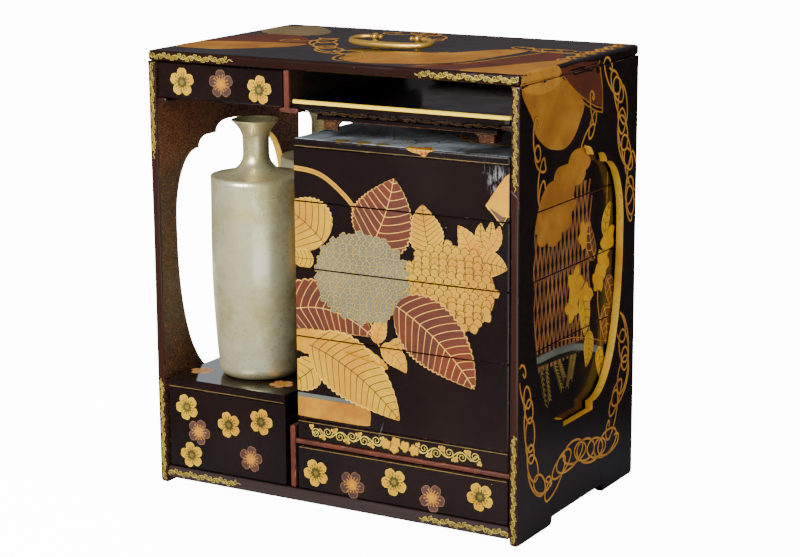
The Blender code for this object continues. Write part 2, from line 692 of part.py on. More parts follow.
def build():
    clear_scene()
    case_boards()
    upper_partition()
    wall_rail("rail_left", LEFT_WALL, -1)
    wall_rail("rail_right", RIGHT_WALL, 1)
    bottle_base = drawers_and_low_box() + GAP
    bottle("bottle_front", bottle_base, -BOX_HALF_DEPTH / 2)
    bottle("bottle_back", bottle_base, BOX_HALF_DEPTH / 2)
    stack_of_tiers()
    cup_tray()
    handle_post("handle_post_left", -PIVOT_SPACING / 2)
    handle_post("handle_post_right", PIVOT_SPACING / 2)
    handle_bail()
    shade_smooth()


build()
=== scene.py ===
# Looks of the lacquered picnic box: finishes, gold decoration, bottles, handle, light and camera.
# Lengths are in millimetres until a mesh is made.
import math

import bmesh
import bpy
import numpy as np
from mathutils import Matrix, Vector


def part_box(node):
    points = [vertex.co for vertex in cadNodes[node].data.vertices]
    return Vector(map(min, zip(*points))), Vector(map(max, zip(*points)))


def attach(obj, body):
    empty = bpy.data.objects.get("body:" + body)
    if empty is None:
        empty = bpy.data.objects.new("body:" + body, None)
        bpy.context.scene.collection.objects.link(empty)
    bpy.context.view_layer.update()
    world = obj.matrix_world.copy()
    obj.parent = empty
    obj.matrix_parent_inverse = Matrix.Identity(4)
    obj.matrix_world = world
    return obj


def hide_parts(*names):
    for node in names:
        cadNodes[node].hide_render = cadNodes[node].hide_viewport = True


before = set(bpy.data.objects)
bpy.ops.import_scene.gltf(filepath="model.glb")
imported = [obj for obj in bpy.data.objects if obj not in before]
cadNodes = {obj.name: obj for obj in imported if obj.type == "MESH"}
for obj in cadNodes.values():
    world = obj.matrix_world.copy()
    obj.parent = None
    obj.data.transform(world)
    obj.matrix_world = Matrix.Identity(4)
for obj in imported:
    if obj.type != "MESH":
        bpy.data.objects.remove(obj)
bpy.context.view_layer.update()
mm = 0.001


def span(node):
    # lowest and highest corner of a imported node, in millimetres
    low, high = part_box(node)
    return np.array(low) / mm, np.array(high) / mm


def tone(red, green, blue):
    # a colour as seen on screen, 0 to 255, turned into scene light
    values = np.array([red, green, blue]) / 255
    light = np.where(values <= 0.04045, values / 12.92, ((values + 0.055) / 1.055) ** 2.4)
    return (*light.tolist(), 1.0)


# Camera at the photograph's place, looking a little down from the right of the front.
cameraView = {
    "place": (786.1, -1344.7, 512.8),
    "azimuth": 30.199,
    "elevation": 12.985,
    "roll": -0.393,
    "lens": 97.38,
    "sensor": 36.0,
}


def placeCamera(view):
    azimuth, elevation = math.radians(view["azimuth"]), math.radians(view["elevation"])
    back = Vector((math.sin(azimuth) * math.cos(elevation),
                   -math.cos(azimuth) * math.cos(elevation),
                   math.sin(elevation)))
    right = Vector((math.cos(azimuth), math.sin(azimuth), 0.0))
    turn = Matrix.Rotation(math.radians(view["roll"]), 3, back)
    right = turn @ right
    up = back.cross(right)
    data = bpy.data.cameras.new("camera")
    data.lens = view["lens"]
    data.sensor_width = view["sensor"]
    data.clip_end = 60.0
    camera = bpy.data.objects.new("camera", data)
    camera.matrix_world = Matrix((right, up, back)).transposed().to_4x4()
    camera.location = Vector(view["place"]) * mm
    bpy.context.scene.collection.objects.link(camera)
    bpy.context.scene.camera = camera


placeCamera(cameraView)
print("camera placed")


# Shader helpers
def put(tree, kind, inputs=None, **settings):
    node = tree.nodes.new("ShaderNode" + kind)
    for key, value in settings.items():
        setattr(node, key, value)
    for key, value in (inputs or {}).items():
        if isinstance(value, bpy.types.NodeSocket):
            tree.links.new(value, node.inputs[key])
        else:
            node.inputs[key].default_value = value
    return node


def maths(tree, operation, first, second=0.0):
    return put(tree, "Math", {0: first, 1: second}, operation=operation).outputs[0]


def vectorMaths(tree, operation, first, second=(0.0, 0.0, 0.0)):
    return put(tree, "VectorMath", {0: first, 1: second}, operation=operation).outputs[0]


def reachOf(tree, vector):
    return put(tree, "VectorMath", {0: vector}, operation="LENGTH").outputs["Value"]


def times(tree, first, second):
    return maths(tree, "MULTIPLY", first, second)


def mixed(tree, factor, first, second):
    return put(tree, "Mix", {0: factor, 6: first, 7: second}, data_type="RGBA").outputs[2]


def rise(tree, value, low, high, start=0.0, end=1.0):
    # a smooth step of a value from one level to another
    return put(tree, "MapRange", {0: value, 1: low, 2: high, 3: start, 4: end},
               interpolation_type="SMOOTHSTEP").outputs[0]


def noise(tree, vector, scale, detail=3.0, roughness=0.55):
    return put(tree, "TexNoise", {"Vector": vector, "Scale": scale, "Detail": detail,
                                  "Roughness": roughness}).outputs["Fac"]


def newGroup(name, inputs, outputs):
    group = bpy.data.node_groups.new(name, "ShaderNodeTree")
    kinds = {"value": "NodeSocketFloat", "vector": "NodeSocketVector", "colour": "NodeSocketColor"}
    for label, kind in inputs:
        group.interface.new_socket(label, in_out="INPUT", socket_type=kinds[kind])
    for label, kind in outputs:
        group.interface.new_socket(label, in_out="OUTPUT", socket_type=kinds[kind])
    given = group.nodes.new("NodeGroupInput").outputs
    return group, given, group.nodes.new("NodeGroupOutput").inputs


def makeSpeckles():
    # small round flecks: cells of a random mosaic, some of them left out
    group, given, result = newGroup(
        "speckles",
        [("Vector", "vector"), ("Scale", "value"), ("Share", "value"), ("Size", "value")],
        [("Mask", "value"), ("Tone", "value")])
    cells = put(group, "TexVoronoi", {"Vector": given["Vector"], "Scale": given["Scale"]})
    channels = put(group, "SeparateColor", {0: cells.outputs["Color"]})
    inside = rise(group, maths(group, "DIVIDE", cells.outputs["Distance"], given["Size"]), 1.0, 0.7)
    chosen = maths(group, "LESS_THAN", channels.outputs[0], given["Share"])
    group.links.new(times(group, inside, chosen), result["Mask"])
    group.links.new(channels.outputs[1], result["Tone"])
    return group


def makeScratches():
    # fine lines: the walls of long stretched cells, kept only in patches
    group, given, result = newGroup(
        "scratches", [("Vector", "vector"), ("Scale", "value"), ("Share", "value")],
        [("Mask", "value")])
    total = None
    for turn, stretch in ((0.4, (1.0, 0.1, 0.35)), (1.9, (0.12, 1.0, 0.3)), (2.7, (0.3, 0.4, 1.0))):
        place = put(group, "Mapping", {"Vector": given["Vector"], "Scale": stretch,
                                       "Rotation": (turn, turn * 0.6, turn)})
        walls = put(group, "TexVoronoi", {"Vector": place.outputs[0], "Scale": given["Scale"]},
                    feature="DISTANCE_TO_EDGE")
        line = rise(group, walls.outputs["Distance"], 0.009, 0.003)
        patch = noise(group, place.outputs[0], 31.0 + turn * 7)
        kept = rise(group, maths(group, "ADD", patch, given["Share"]), 0.86, 0.96)
        line = times(group, line, kept)
        total = line if total is None else maths(group, "MAXIMUM", total, line)
    group.links.new(total, result["Mask"])
    return group


def axesOf(tree, vector):
    return put(tree, "SeparateXYZ", {0: vector}).outputs


def faceDistances(group, given):
    # how far a point lies inside the three low faces of a box, and inside the three high ones
    return (vectorMaths(group, "SUBTRACT", given["Vector"], given["Low"]),
            vectorMaths(group, "SUBTRACT", given["High"], given["Vector"]))


def makeArrisWearAndHighlight():
    # nearness to an edge of a box, for worn arrises with a painted highlight along them:
    # the second smallest of the three distances to its faces
    group, given, result = newGroup(
        "arrisWearAndHighlight",
        [("Vector", "vector"), ("Low", "vector"), ("High", "vector"), ("Width", "value"),
         ("Breakup", "value")],
        [("Mask", "value")])
    toLow, toHigh = faceDistances(group, given)
    axes = axesOf(group, vectorMaths(group, "MINIMUM", toLow, toHigh))
    lesser = maths(group, "MINIMUM", axes[0], axes[1])
    greater = maths(group, "MAXIMUM", axes[0], axes[1])
    second = maths(group, "MAXIMUM", lesser, maths(group, "MINIMUM", greater, axes[2]))
    uneven = noise(group, given["Vector"], 140.0, 4.0, 0.65)
    wide = rise(group, uneven, 0.35, 0.75, 0.25, 1.6)
    edge = rise(group, maths(group, "DIVIDE", second, times(group, given["Width"], wide)),
                1.0, 0.35)
    kept = rise(group, maths(group, "ADD", noise(group, given["Vector"], 46.0, 5.0, 0.7),
                             given["Breakup"]), 0.5, 0.62)
    group.links.new(times(group, edge, kept), result["Mask"])
    return group


def makeInterior():
    # 1 inside the walls and above the floor of a box, 0 outside
    group, given, result = newGroup(
        "interior",
        [("Vector", "vector"), ("Low", "vector"), ("High", "vector"), ("Wall", "value")],
        [("Mask", "value")])
    toLow, toHigh = faceDistances(group, given)
    low, high = axesOf(group, toLow), axesOf(group, toHigh)
    least = low[2]
    for distance in (low[0], low[1], high[0], high[1]):
        least = maths(group, "MINIMUM", least, distance)
    group.links.new(maths(group, "GREATER_THAN", least, given["Wall"]), result["Mask"])
    return group


def makeVeins():
    # a midrib and side veins that slant to the tip, from distances along and across a leaf
    group, given, result = newGroup(
        "veins",
        [("Along", "value"), ("Across", "value"), ("Share", "value"), ("Spacing", "value"),
         ("Slant", "value"), ("Line", "value"), ("Edge", "value")],
        [("Mask", "value"), ("Margin", "value")])
    reach = maths(group, "ABSOLUTE", given["Across"])
    midrib = rise(group, reach, given["Line"], times(group, given["Line"], 0.55))
    bow = times(group, maths(group, "POWER", reach, 1.25), given["Slant"])
    turns = maths(group, "DIVIDE", maths(group, "SUBTRACT", given["Along"], bow), given["Spacing"])
    saw = maths(group, "ABSOLUTE", maths(group, "SUBTRACT", maths(group, "FRACT", turns), 0.5))
    distance = times(group, saw, given["Spacing"])
    side = rise(group, distance, given["Line"], times(group, given["Line"], 0.45))
    side = times(group, side, rise(group, given["Share"], 0.97, 0.9))
    group.links.new(maths(group, "MAXIMUM", midrib, side), result["Mask"])
    margin = rise(group, given["Share"], given["Edge"], maths(group, "ADD", given["Edge"], 0.03))
    group.links.new(margin, result["Margin"])
    return group


def makePowder():
    # sprinkled metal powder: two tones in patches, fine grains of the darker one, rubbed places
    group, given, result = newGroup(
        "powder",
        [("Vector", "vector"), ("Tone", "colour"), ("Shade", "colour"), ("Grain", "value"),
         ("Patches", "value")],
        [("Tone", "colour"), ("Height", "value")])
    patches = rise(group, noise(group, given["Vector"], given["Patches"], 6.0, 0.65), 0.3, 0.72)
    colour = mixed(group, patches, given["Tone"], given["Shade"])
    grain = noise(group, given["Vector"], 1900.0, 2.0)
    dotted = times(group, rise(group, grain, 0.4, 0.75), given["Grain"])
    colour = mixed(group, dotted, colour, given["Shade"])
    worn = rise(group, noise(group, given["Vector"], 85.0, 6.0, 0.75), 0.69, 0.76)
    colour = mixed(group, times(group, worn, 0.5), colour, tone(74, 44, 30))
    group.links.new(colour, result["Tone"])
    group.links.new(grain, result["Height"])
    return group


speckles = makeSpeckles()
scratches = makeScratches()
arrisWearAndHighlight = makeArrisWearAndHighlight()
interior = makeInterior()
veins = makeVeins()
powder = makePowder()


def newMaterial(name, roughness, metallic=0.0):
    material = bpy.data.materials.new(name)
    material.use_nodes = True
    shader = material.node_tree.nodes["Principled BSDF"]
    shader.inputs["Roughness"].default_value = roughness
    shader.inputs["Metallic"].default_value = metallic
    return material, material.node_tree, shader


def objectPoint(tree):
    return put(tree, "TexCoord").outputs["Object"]


def grouped(tree, group, inputs):
    return put(tree, "Group", inputs, node_tree=group).outputs


def finished(tree, shader, colour, roughness, height, strength, distance):
    # what every finish ends with: its colour, its roughness and a fine bump
    bump = put(tree, "Bump", {"Height": height, "Strength": strength, "Distance": distance})
    for socket, value in (("Base Color", colour), ("Roughness", roughness),
                          ("Normal", bump.outputs[0])):
        tree.links.new(value, shader.inputs[socket])


def boxCorners(low, high):
    return {"Low": (low * mm).tolist(), "High": (high * mm).tolist()}


def speckled(tree, vector, scale, share, size):
    return grouped(tree, speckles, {"Vector": vector, "Scale": scale, "Share": share, "Size": size})


def scratched(tree, vector, colour, scale, share, strength, bright):
    # the colour with fine lines over it, and the lines by themselves
    hair = grouped(tree, scratches, {"Vector": vector, "Scale": scale, "Share": share})["Mask"]
    return mixed(tree, times(tree, hair, strength), colour, bright), hair


def sprinkled(tree, vector, colour, flake, scale, share):
    # fine metal dust laid into a ground
    flecks = speckled(tree, vector, scale, share, 0.42)
    bright = mixed(tree, flecks["Tone"], flake, tuple(0.45 * x for x in flake[:3]) + (1.0,))
    return mixed(tree, flecks["Mask"], colour, bright), flecks["Mask"]


lacquerLook = {
    "ground": tone(19, 10, 9),
    "clouding": tone(28, 17, 14),
    # pale arris colour: worn edges, with a painted highlight along the rounded edges
    "worn": tone(112, 84, 66),
    "dust": tone(176, 168, 160),
    "goldLine": tone(196, 158, 84),
    "roughness": (0.13, 0.24),
    "wearAndHighlightWidth": 0.55,
    "inside": tone(58, 34, 24),
    "insideFlake": tone(176, 122, 62),
    # how deep the paler front edge and the gold band run, and the walls of a hollow box
    "frontDepth": (1.6, 0.5),
    "bandDepth": 3.4,
    "wall": 2.4,
    # how far below a lid's top the painted reflection reaches
    "paintedReflectionDepth": 0.35,
}


def lacquer(name, node, look=None):
    # polished dark lacquer: clouding, worn arrises with a painted highlight along them, dust,
    # hair scratches, gold dust inside, and a painted reflection over a lid's top
    look = {**lacquerLook, **(look or {})}
    low, high = span(node)
    material, tree, shader = newMaterial(name, 0.18)
    point = objectPoint(tree)
    _, depth, level = axesOf(tree, point)
    depth = maths(tree, "ABSOLUTE", depth)
    cloud = noise(tree, point, 9.0, 4.0)
    colour = mixed(tree, rise(tree, cloud, 0.42, 0.7), look["ground"], look["clouding"])
    if "front" in look:
        nearFront = rise(tree, depth, *((high[1] - x) * mm for x in look["frontDepth"]))
        colour = mixed(tree, nearFront, colour, look["front"])
    if "goldBand" in look:
        start, end = look["goldBand"]
        band = times(tree, maths(tree, "GREATER_THAN", level, start * mm),
                     maths(tree, "LESS_THAN", level, end * mm))
        band = times(tree, band,
                     maths(tree, "GREATER_THAN", depth, (high[1] - look["bandDepth"]) * mm))
        worn = rise(tree, noise(tree, point, 60.0, 5.0, 0.7), look["bandWear"] - 0.06,
                    look["bandWear"])
        colour = mixed(tree, times(tree, band, worn), colour, look["goldLine"])
    # pale arrises: worn edges, with a painted highlight along them
    edge = grouped(tree, arrisWearAndHighlight, {"Vector": point, **boxCorners(low, high),
                                     "Width": look["wearAndHighlightWidth"] * mm,
                                     "Breakup": look.get("edgeWearAndHighlight", 0.0)})["Mask"]
    colour = mixed(tree, times(tree, edge, 0.75), colour, look["worn"])
    if look.get("hollow"):
        within = grouped(tree, interior, {"Vector": point, **boxCorners(low, high),
                                          "Wall": look["wall"] * mm})["Mask"]
        inner, _ = sprinkled(tree, point, look["inside"], look["insideFlake"], 1400.0, 0.55)
        colour = mixed(tree, within, colour, inner)
    # painted reflection: a pale bluish haze over the top of a lid, broken by dark crack lines,
    # standing in for bright surroundings reflected in it
    if "paintedReflection" in look:
        haze = times(tree,
                     maths(tree, "GREATER_THAN", level, (high[2] - look["paintedReflectionDepth"]) * mm),
                     rise(tree, noise(tree, point, 11.0, 3.0, 0.6), 0.36, 0.6, 0.1, 0.8))
        stretched = put(tree, "Mapping", {"Vector": point, "Scale": (1.0, 0.45, 1.0)}).outputs[0]
        crack = put(tree, "TexVoronoi", {"Vector": stretched, "Scale": 42.0},
                    feature="DISTANCE_TO_EDGE").outputs["Distance"]
        haze = times(tree, haze, rise(tree, crack, 0.006, 0.03, 0.25, 1.0))
        colour = mixed(tree, haze, colour, look["paintedReflection"])
    if "dusted" in look:
        dusty, _ = sprinkled(tree, point, look["inside"], look["insideFlake"], 1500.0, 0.5)
        colour = mixed(tree, maths(tree, "LESS_THAN", level, look["dusted"] * mm), colour, dusty)
    if "scuff" in look:
        middle, reach = ((np.array(x) * mm).tolist() for x in look["scuff"])
        offset = vectorMaths(tree, "SUBTRACT", point, middle)
        away = reachOf(tree, vectorMaths(tree, "DIVIDE", offset, reach))
        stroke = put(tree, "Mapping", {"Vector": point, "Scale": (1.0, 1.0, 0.22)}).outputs[0]
        rubbed = times(tree, rise(tree, away, 1.0, 0.3),
                       rise(tree, noise(tree, stroke, 700.0, 4.0, 0.7), 0.48, 0.6))
        colour = mixed(tree, times(tree, rubbed, 0.6), colour, look["rubbed"])
    dust = speckled(tree, point, 170.0, 0.035, 0.09)["Mask"]
    colour = mixed(tree, times(tree, dust, 0.55), colour, look["dust"])
    colour, hair = scratched(tree, point, colour, 42.0, 0.17, 0.16, look["dust"])
    smear = rise(tree, noise(tree, point, 27.0, 5.0, 0.6), 0.35, 0.7, *look["roughness"])
    roughness = maths(tree, "ADD", smear, times(tree, edge, 0.25))
    ripple = maths(tree, "ADD", noise(tree, point, 34.0, 2.0), times(tree, hair, -0.5))
    finished(tree, shader, colour, roughness, ripple, 0.12, 0.0006)
    return material


redLook = {
    "ground": tone(90, 38, 21),
    "dark": tone(66, 30, 20),
    "flake": tone(132, 76, 52),
    # pale arris colour: worn edges, with a painted highlight along them
    "worn": tone(154, 100, 74),
    "inside": tone(46, 32, 24),
    "insideFlake": tone(190, 150, 90),
    "edgeDepth": 91.6,
}


def redLacquer(name, node):
    # dusted red-brown lacquer on the front and back edges, dark lacquer with gold dust between
    low, high = span(node)
    material, tree, shader = newMaterial(name, 0.34)
    point = objectPoint(tree)
    colour = mixed(tree, rise(tree, noise(tree, point, 60.0, 5.0, 0.7), 0.35, 0.65),
                   redLook["dark"], redLook["ground"])
    colour, flecks = sprinkled(tree, point, colour, redLook["flake"], 1500.0, 0.35)
    # pale arrises: worn edges, with a painted highlight along them
    edge = grouped(tree, arrisWearAndHighlight, {"Vector": point, **boxCorners(low, high),
                                     "Width": 0.6 * mm, "Breakup": 0.08})["Mask"]
    colour = mixed(tree, edge, colour, redLook["worn"])
    inner, _ = sprinkled(tree, point, redLook["inside"], redLook["insideFlake"], 1500.0, 0.45)
    depth = maths(tree, "ABSOLUTE", axesOf(tree, point)[1])
    deep = rise(tree, depth, (redLook["edgeDepth"] + 0.6) * mm, redLook["edgeDepth"] * mm)
    colour = mixed(tree, deep, colour, inner)
    finished(tree, shader, colour, rise(tree, flecks, 0.0, 1.0, 0.34, 0.5), flecks, 0.3, 0.00008)
    return material


# Each powder's colour, its darker shade, how metallic it is and how strong its grain
inlayLooks = {
    "gold": (tone(210, 160, 0), tone(188, 124, 0), 0.2, 0.4),
    "roseGold": (tone(196, 146, 92), tone(158, 106, 62), 0.1, 0.4),
    "haze": (tone(128, 106, 62), tone(98, 82, 56), 0.1, 0.5),
    "tableGold": (tone(196, 142, 10), tone(154, 92, 10), 0.2, 0.4),
    "deepGold": (tone(190, 130, 34), tone(150, 92, 22), 0.25, 0.5),
    "paleGold": (tone(228, 200, 30), tone(196, 156, 24), 0.2, 0.3),
    "orangeGold": (tone(216, 158, 0), tone(196, 118, 0), 0.2, 0.7),
    "ember": (tone(172, 58, 8), tone(138, 46, 12), 0.1, 0.6),
    "cord": (tone(208, 146, 40), tone(166, 106, 28), 0.2, 0.4),
    "redBrown": (tone(110, 42, 6), tone(76, 37, 22), 0.05, 0.8),
    "petalBrown": (tone(84, 54, 46), tone(62, 38, 34), 0.05, 0.6),
    "plumBrown": (tone(104, 66, 50), tone(76, 44, 36), 0.05, 0.8),
    "petalRim": (tone(142, 98, 56), tone(110, 72, 44), 0.1, 0.4),
    "silver": (tone(120, 118, 92), tone(96, 98, 80), 0.2, 0.5),
    "dullGold": (tone(140, 112, 34), tone(94, 76, 26), 0.1, 0.3),
    "scrollGold": (tone(208, 184, 60), tone(172, 148, 46), 0.15, 0.3),
    "blueGrey": (tone(110, 112, 96), tone(84, 90, 82), 0.2, 0.5),
    "olive": (tone(80, 72, 14), tone(52, 46, 12), 0.05, 0.3),
    "darkLine": (tone(36, 26, 10), tone(24, 16, 8), 0.0, 0.2),
    "faint": (tone(92, 62, 28), tone(58, 38, 20), 0.1, 0.5),
}
leafLooks = {
    "goldLeaf": {"base": "gold", "line": tone(40, 40, 12), "margin": tone(236, 188, 70),
                 "spacing": 5.8, "width": 0.42},
    "smallGoldLeaf": {"base": "gold", "line": tone(44, 42, 14), "margin": tone(236, 190, 74),
                      "spacing": 3.6, "width": 0.32},
    "redLeaf": {"base": "redBrown", "line": tone(224, 168, 66), "margin": tone(212, 154, 58),
                "spacing": 6.2, "width": 0.34},
    "emberLeaf": {"base": "ember", "line": tone(230, 180, 60), "margin": tone(226, 176, 56),
                  "spacing": 3.4, "width": 0.26},
    "budLeaf": {"base": "orangeGold", "line": tone(120, 80, 20), "margin": tone(234, 196, 60),
                "spacing": 4.2, "width": 0.26},
    "goldFloret": {"base": "gold", "margin": tone(64, 54, 16), "edge": 0.85},
    "petalGold": {"base": "gold", "margin": tone(124, 82, 20), "edge": 0.88},
    "silverFloret": {"base": "silver", "margin": tone(188, 152, 44), "edge": 0.84},
}
inlayMaterials = {}


def veined(tree, look, colour, grain):
    # drawn veins and a margin that follow the figure's own coordinates
    size = axesOf(tree, put(tree, "UVMap", uv_map="size").outputs[0])
    share = axesOf(tree, put(tree, "UVMap", uv_map="share").outputs[0])
    drawn = grouped(tree, veins, {"Along": size[0], "Across": size[1], "Share": share[1],
                                  "Spacing": look.get("spacing", 5.0) / 100, "Slant": 0.9,
                                  "Edge": look.get("edge", 0.945),
                                  "Line": look.get("width", 0.0) / 100})
    colour = mixed(tree, drawn["Margin"], colour, look["margin"])
    if "line" in look:
        colour = mixed(tree, drawn["Mask"], colour, look["line"])
    return colour, maths(tree, "SUBTRACT", times(tree, grain, 0.2), drawn["Mask"])


def inlay(finish):
    # sprinkled metal powder over lacquer: mottled, with fine grains and rubbed patches
    if finish in inlayMaterials:
        return inlayMaterials[finish]
    look = leafLooks.get(finish)
    colour, shade, metallic, grains = inlayLooks[look["base"] if look else finish]
    material, tree, shader = newMaterial(finish, 0.42, metallic)
    dusted = grouped(tree, powder, {"Vector": objectPoint(tree), "Tone": colour, "Shade": shade,
                                    "Grain": grains, "Patches": 30.0 if look else 38.0})
    colour, grain = dusted["Tone"], dusted["Height"]
    height, strength, distance = grain, 0.35, 0.00005
    if look:
        colour, height = veined(tree, look, colour, grain)
        strength, distance = 0.4, 0.00012
    finished(tree, shader, colour, rise(tree, grain, 0.3, 0.7, 0.34, 0.5), height, strength,
             distance)
    inlayMaterials[finish] = material
    return material


print("finishes ready")


# Sheets of decoration: figures drawn in a surface's own two directions and raised a little
def flatPlace(facing, level):
    # a plane square to an axis, at a distance along it
    axes = {
        "front": ((1, 0, 0), (0, 0, 1), (0, -1, 0)),
        "back": ((-1, 0, 0), (0, 0, 1), (0, 1, 0)),
        "right": ((0, 1, 0), (0, 0, 1), (1, 0, 0)),
        "left": ((0, -1, 0), (0, 0, 1), (-1, 0, 0)),
        "top": ((1, 0, 0), (0, 1, 0), (0, 0, 1)),
    }
    first, second, outward = (np.array(axis, float) for axis in axes[facing])

    def place(a, b, height):
        return (a[..., None] * first + b[..., None] * second
                + (level + height)[..., None] * outward)
    return place


def foldPlace(front, knee, radius):
    # a front face that turns back over a rounded arris into a top
    def place(a, b, height):
        beyond = b - knee
        angle = np.clip(beyond / radius, 0.0, math.pi / 2)
        y = radius - front - (radius + height) * np.cos(angle)
        y += np.maximum(beyond - radius * math.pi / 2, 0.0)
        return np.stack([a, y, np.minimum(b, knee) + (radius + height) * np.sin(angle)], axis=-1)
    return place


def barPlace(facing, level, middle, halfWidth, radius, upright):
    # a long flat edge whose two sides are rounded: across it the surface turns away on arcs
    flat = halfWidth - radius
    base = flatPlace(facing, level)

    def place(a, b, height):
        along, across = (b, a) if upright else (a, b)
        offset = across - middle
        angle = np.clip(np.abs(offset) - flat, 0.0, radius * math.pi / 2) / radius
        turned = np.clip(np.abs(offset), 0.0, flat) + (radius + height) * np.sin(angle)
        drop = (radius + height) * (1 - np.cos(angle))
        shifted = middle + np.sign(offset) * turned
        if upright:
            return base(shifted, along, height - drop)
        return base(along, shifted, height - drop)
    return place


def newSheet(place):
    return {"place": place, "points": [], "faces": [], "size": [], "share": [], "finish": [],
            "total": 0}


def faceSheet(node, facing):
    # a sheet on one face of a node's box
    low, high = span(node)
    level = {"front": -low[1], "back": high[1], "left": -low[0], "right": high[0],
             "top": high[2]}[facing]
    return newSheet(flatPlace(facing, level))


def addSurface(sheet, a, b, height, size, share, finish, closed=False, pole=False):
    # a grid of points as quads; closed joins its last column to its first,
    # and pole closes the first row with triangles round one point
    rows, columns = a.shape
    index = sheet["total"] + np.arange(rows * columns).reshape(rows, columns)
    after = np.roll(index, -1, axis=1) if closed else index[:, 1:]
    before = index if closed else index[:, :-1]
    quads = np.stack([before[:-1], after[:-1], after[1:], before[1:]], axis=-1).reshape(-1, 4)
    flatA, flatB = a.reshape(-1), b.reshape(-1)
    ring = quads - sheet["total"]
    area = 0.0
    for corner in range(4):
        first, second = ring[:, corner], ring[:, (corner + 1) % 4]
        area += np.sum(flatA[first] * flatB[second] - flatA[second] * flatB[first])
    if area < 0:
        quads = quads[:, ::-1]
    faces = quads.tolist()
    points = sheet["place"](a, b, height).reshape(-1, 3)
    sizes, shares = (np.stack(np.broadcast_arrays(*pair), axis=-1).reshape(-1, 2)
                     for pair in (size, share))
    if pole:
        centre = sheet["total"] + rows * columns
        fan = np.stack([np.full(columns, centre), index[0], np.roll(index[0], -1)], axis=-1)
        turning = np.sum(a[0] * np.roll(b[0], -1) - np.roll(a[0], -1) * b[0])
        faces += (fan if turning > 0 else fan[:, ::-1]).tolist()
        middle = sheet["place"](np.array([a[0].mean()]), np.array([b[0].mean()]),
                                np.array([height[0].mean()]))
        points = np.vstack([points, middle])
        sizes = np.vstack([sizes, [[0.0, 0.0]]])
        shares = np.vstack([shares, [[0.0, 0.0]]])
    sheet["points"].append(points)
    sheet["faces"] += faces
    sheet["size"].append(sizes / 100)
    sheet["share"].append(shares)
    sheet["finish"] += [finish] * len(faces)
    sheet["total"] += len(points)


def sideways(path):
    # at each point of a path, the unit vector to its left
    step = np.gradient(path, axis=0)
    step /= np.maximum(np.linalg.norm(step, axis=1, keepdims=True), 1e-9)
    return np.stack([-step[:, 1], step[:, 0]], axis=1)


def alongPath(path):
    return np.r_[0.0, np.cumsum(np.linalg.norm(np.diff(path, axis=0), axis=1))]


def ribbon(sheet, path, width, finish, lift=0.06, crown=0.05):
    # a flat line along a path, crowned in the middle; its width and its lift may change on the way
    path = np.asarray(path, float)
    side = sideways(path)
    across = np.array([-1.0, 0.0, 1.0])
    half = np.broadcast_to(np.asarray(width, float) / 2, len(path))[:, None] * across
    a = path[:, :1] + side[:, :1] * half
    b = path[:, 1:] + side[:, 1:] * half
    height = np.broadcast_to(np.asarray(lift)[..., None] + crown * (1 - across ** 2), a.shape)
    length = alongPath(path)[:, None]
    share = length / max(length[-1, 0], 1e-9)
    addSurface(sheet, a, b, height, (length, half), (share, np.abs(across)), finish)


def turnedAbout(centre, x, y, turn):
    cosine, sine = math.cos(turn), math.sin(turn)
    return centre[0] + x * cosine - y * sine, centre[1] + x * sine + y * cosine


def disc(sheet, centre, radii, finish, lift=0.06, dome=0.06, rings=2, turn=0.0):
    # a filled outline given as radii round a centre, domed in the middle
    radii = np.asarray(radii, float)
    angle = 2 * np.pi * np.arange(len(radii)) / len(radii)
    share = (np.arange(rings) + 1)[:, None] / rings
    x, y = share * radii * np.cos(angle), share * radii * np.sin(angle)
    a, b = turnedAbout(centre, x, y, turn)
    height = lift + dome * (1 - share ** 2) + 0 * x
    addSurface(sheet, a, b, height, (x, y), (angle / 7, share), finish, closed=True, pole=True)


def eased(corners, steps):
    # a cubic from each second corner to the third, level with the chord of its neighbours
    t = (np.arange(steps) / steps)[None, :, None]
    p0, p1, p2, p3 = (p[:, None, :] for p in corners)
    curve = 0.5 * (2 * p1 + (p2 - p0) * t + (2 * p0 - 5 * p1 + 4 * p2 - p3) * t ** 2
                   + (3 * p1 - p0 - 3 * p2 + p3) * t ** 3)
    return curve.reshape(-1, 2)


def smoothLoop(points, steps=8):
    # a closed curve through a few points
    points = np.asarray(points, float)
    return eased([np.roll(points, shift, axis=0) for shift in (1, 0, -1, -2)], steps)


def smoothPath(points, steps=12):
    # an open curve through a few points
    points = np.asarray(points, float)
    ends = np.vstack([2 * points[0] - points[1], points, 2 * points[-1] - points[-2]])
    curve = eased([ends[i:len(ends) - 3 + i] for i in range(4)], steps)
    return np.vstack([curve, points[-1:]])


def patch(sheet, outline, finish, lift=0.06, dome=0.04, centre=None):
    # a filled closed outline, as rings that shrink to its middle
    rings = 6
    outline = np.asarray(outline, float)
    middle = np.mean(outline, axis=0) if centre is None else np.asarray(centre, float)
    share = (np.arange(rings) + 1)[:, None] / rings
    x, y = (outline - middle).T
    a, b = middle[0] + share * x, middle[1] + share * y
    height = lift + dome * (1 - share ** 4) + 0 * a
    addSurface(sheet, a, b, height, (a, b), (share, 0 * a), finish, closed=True, pole=True)


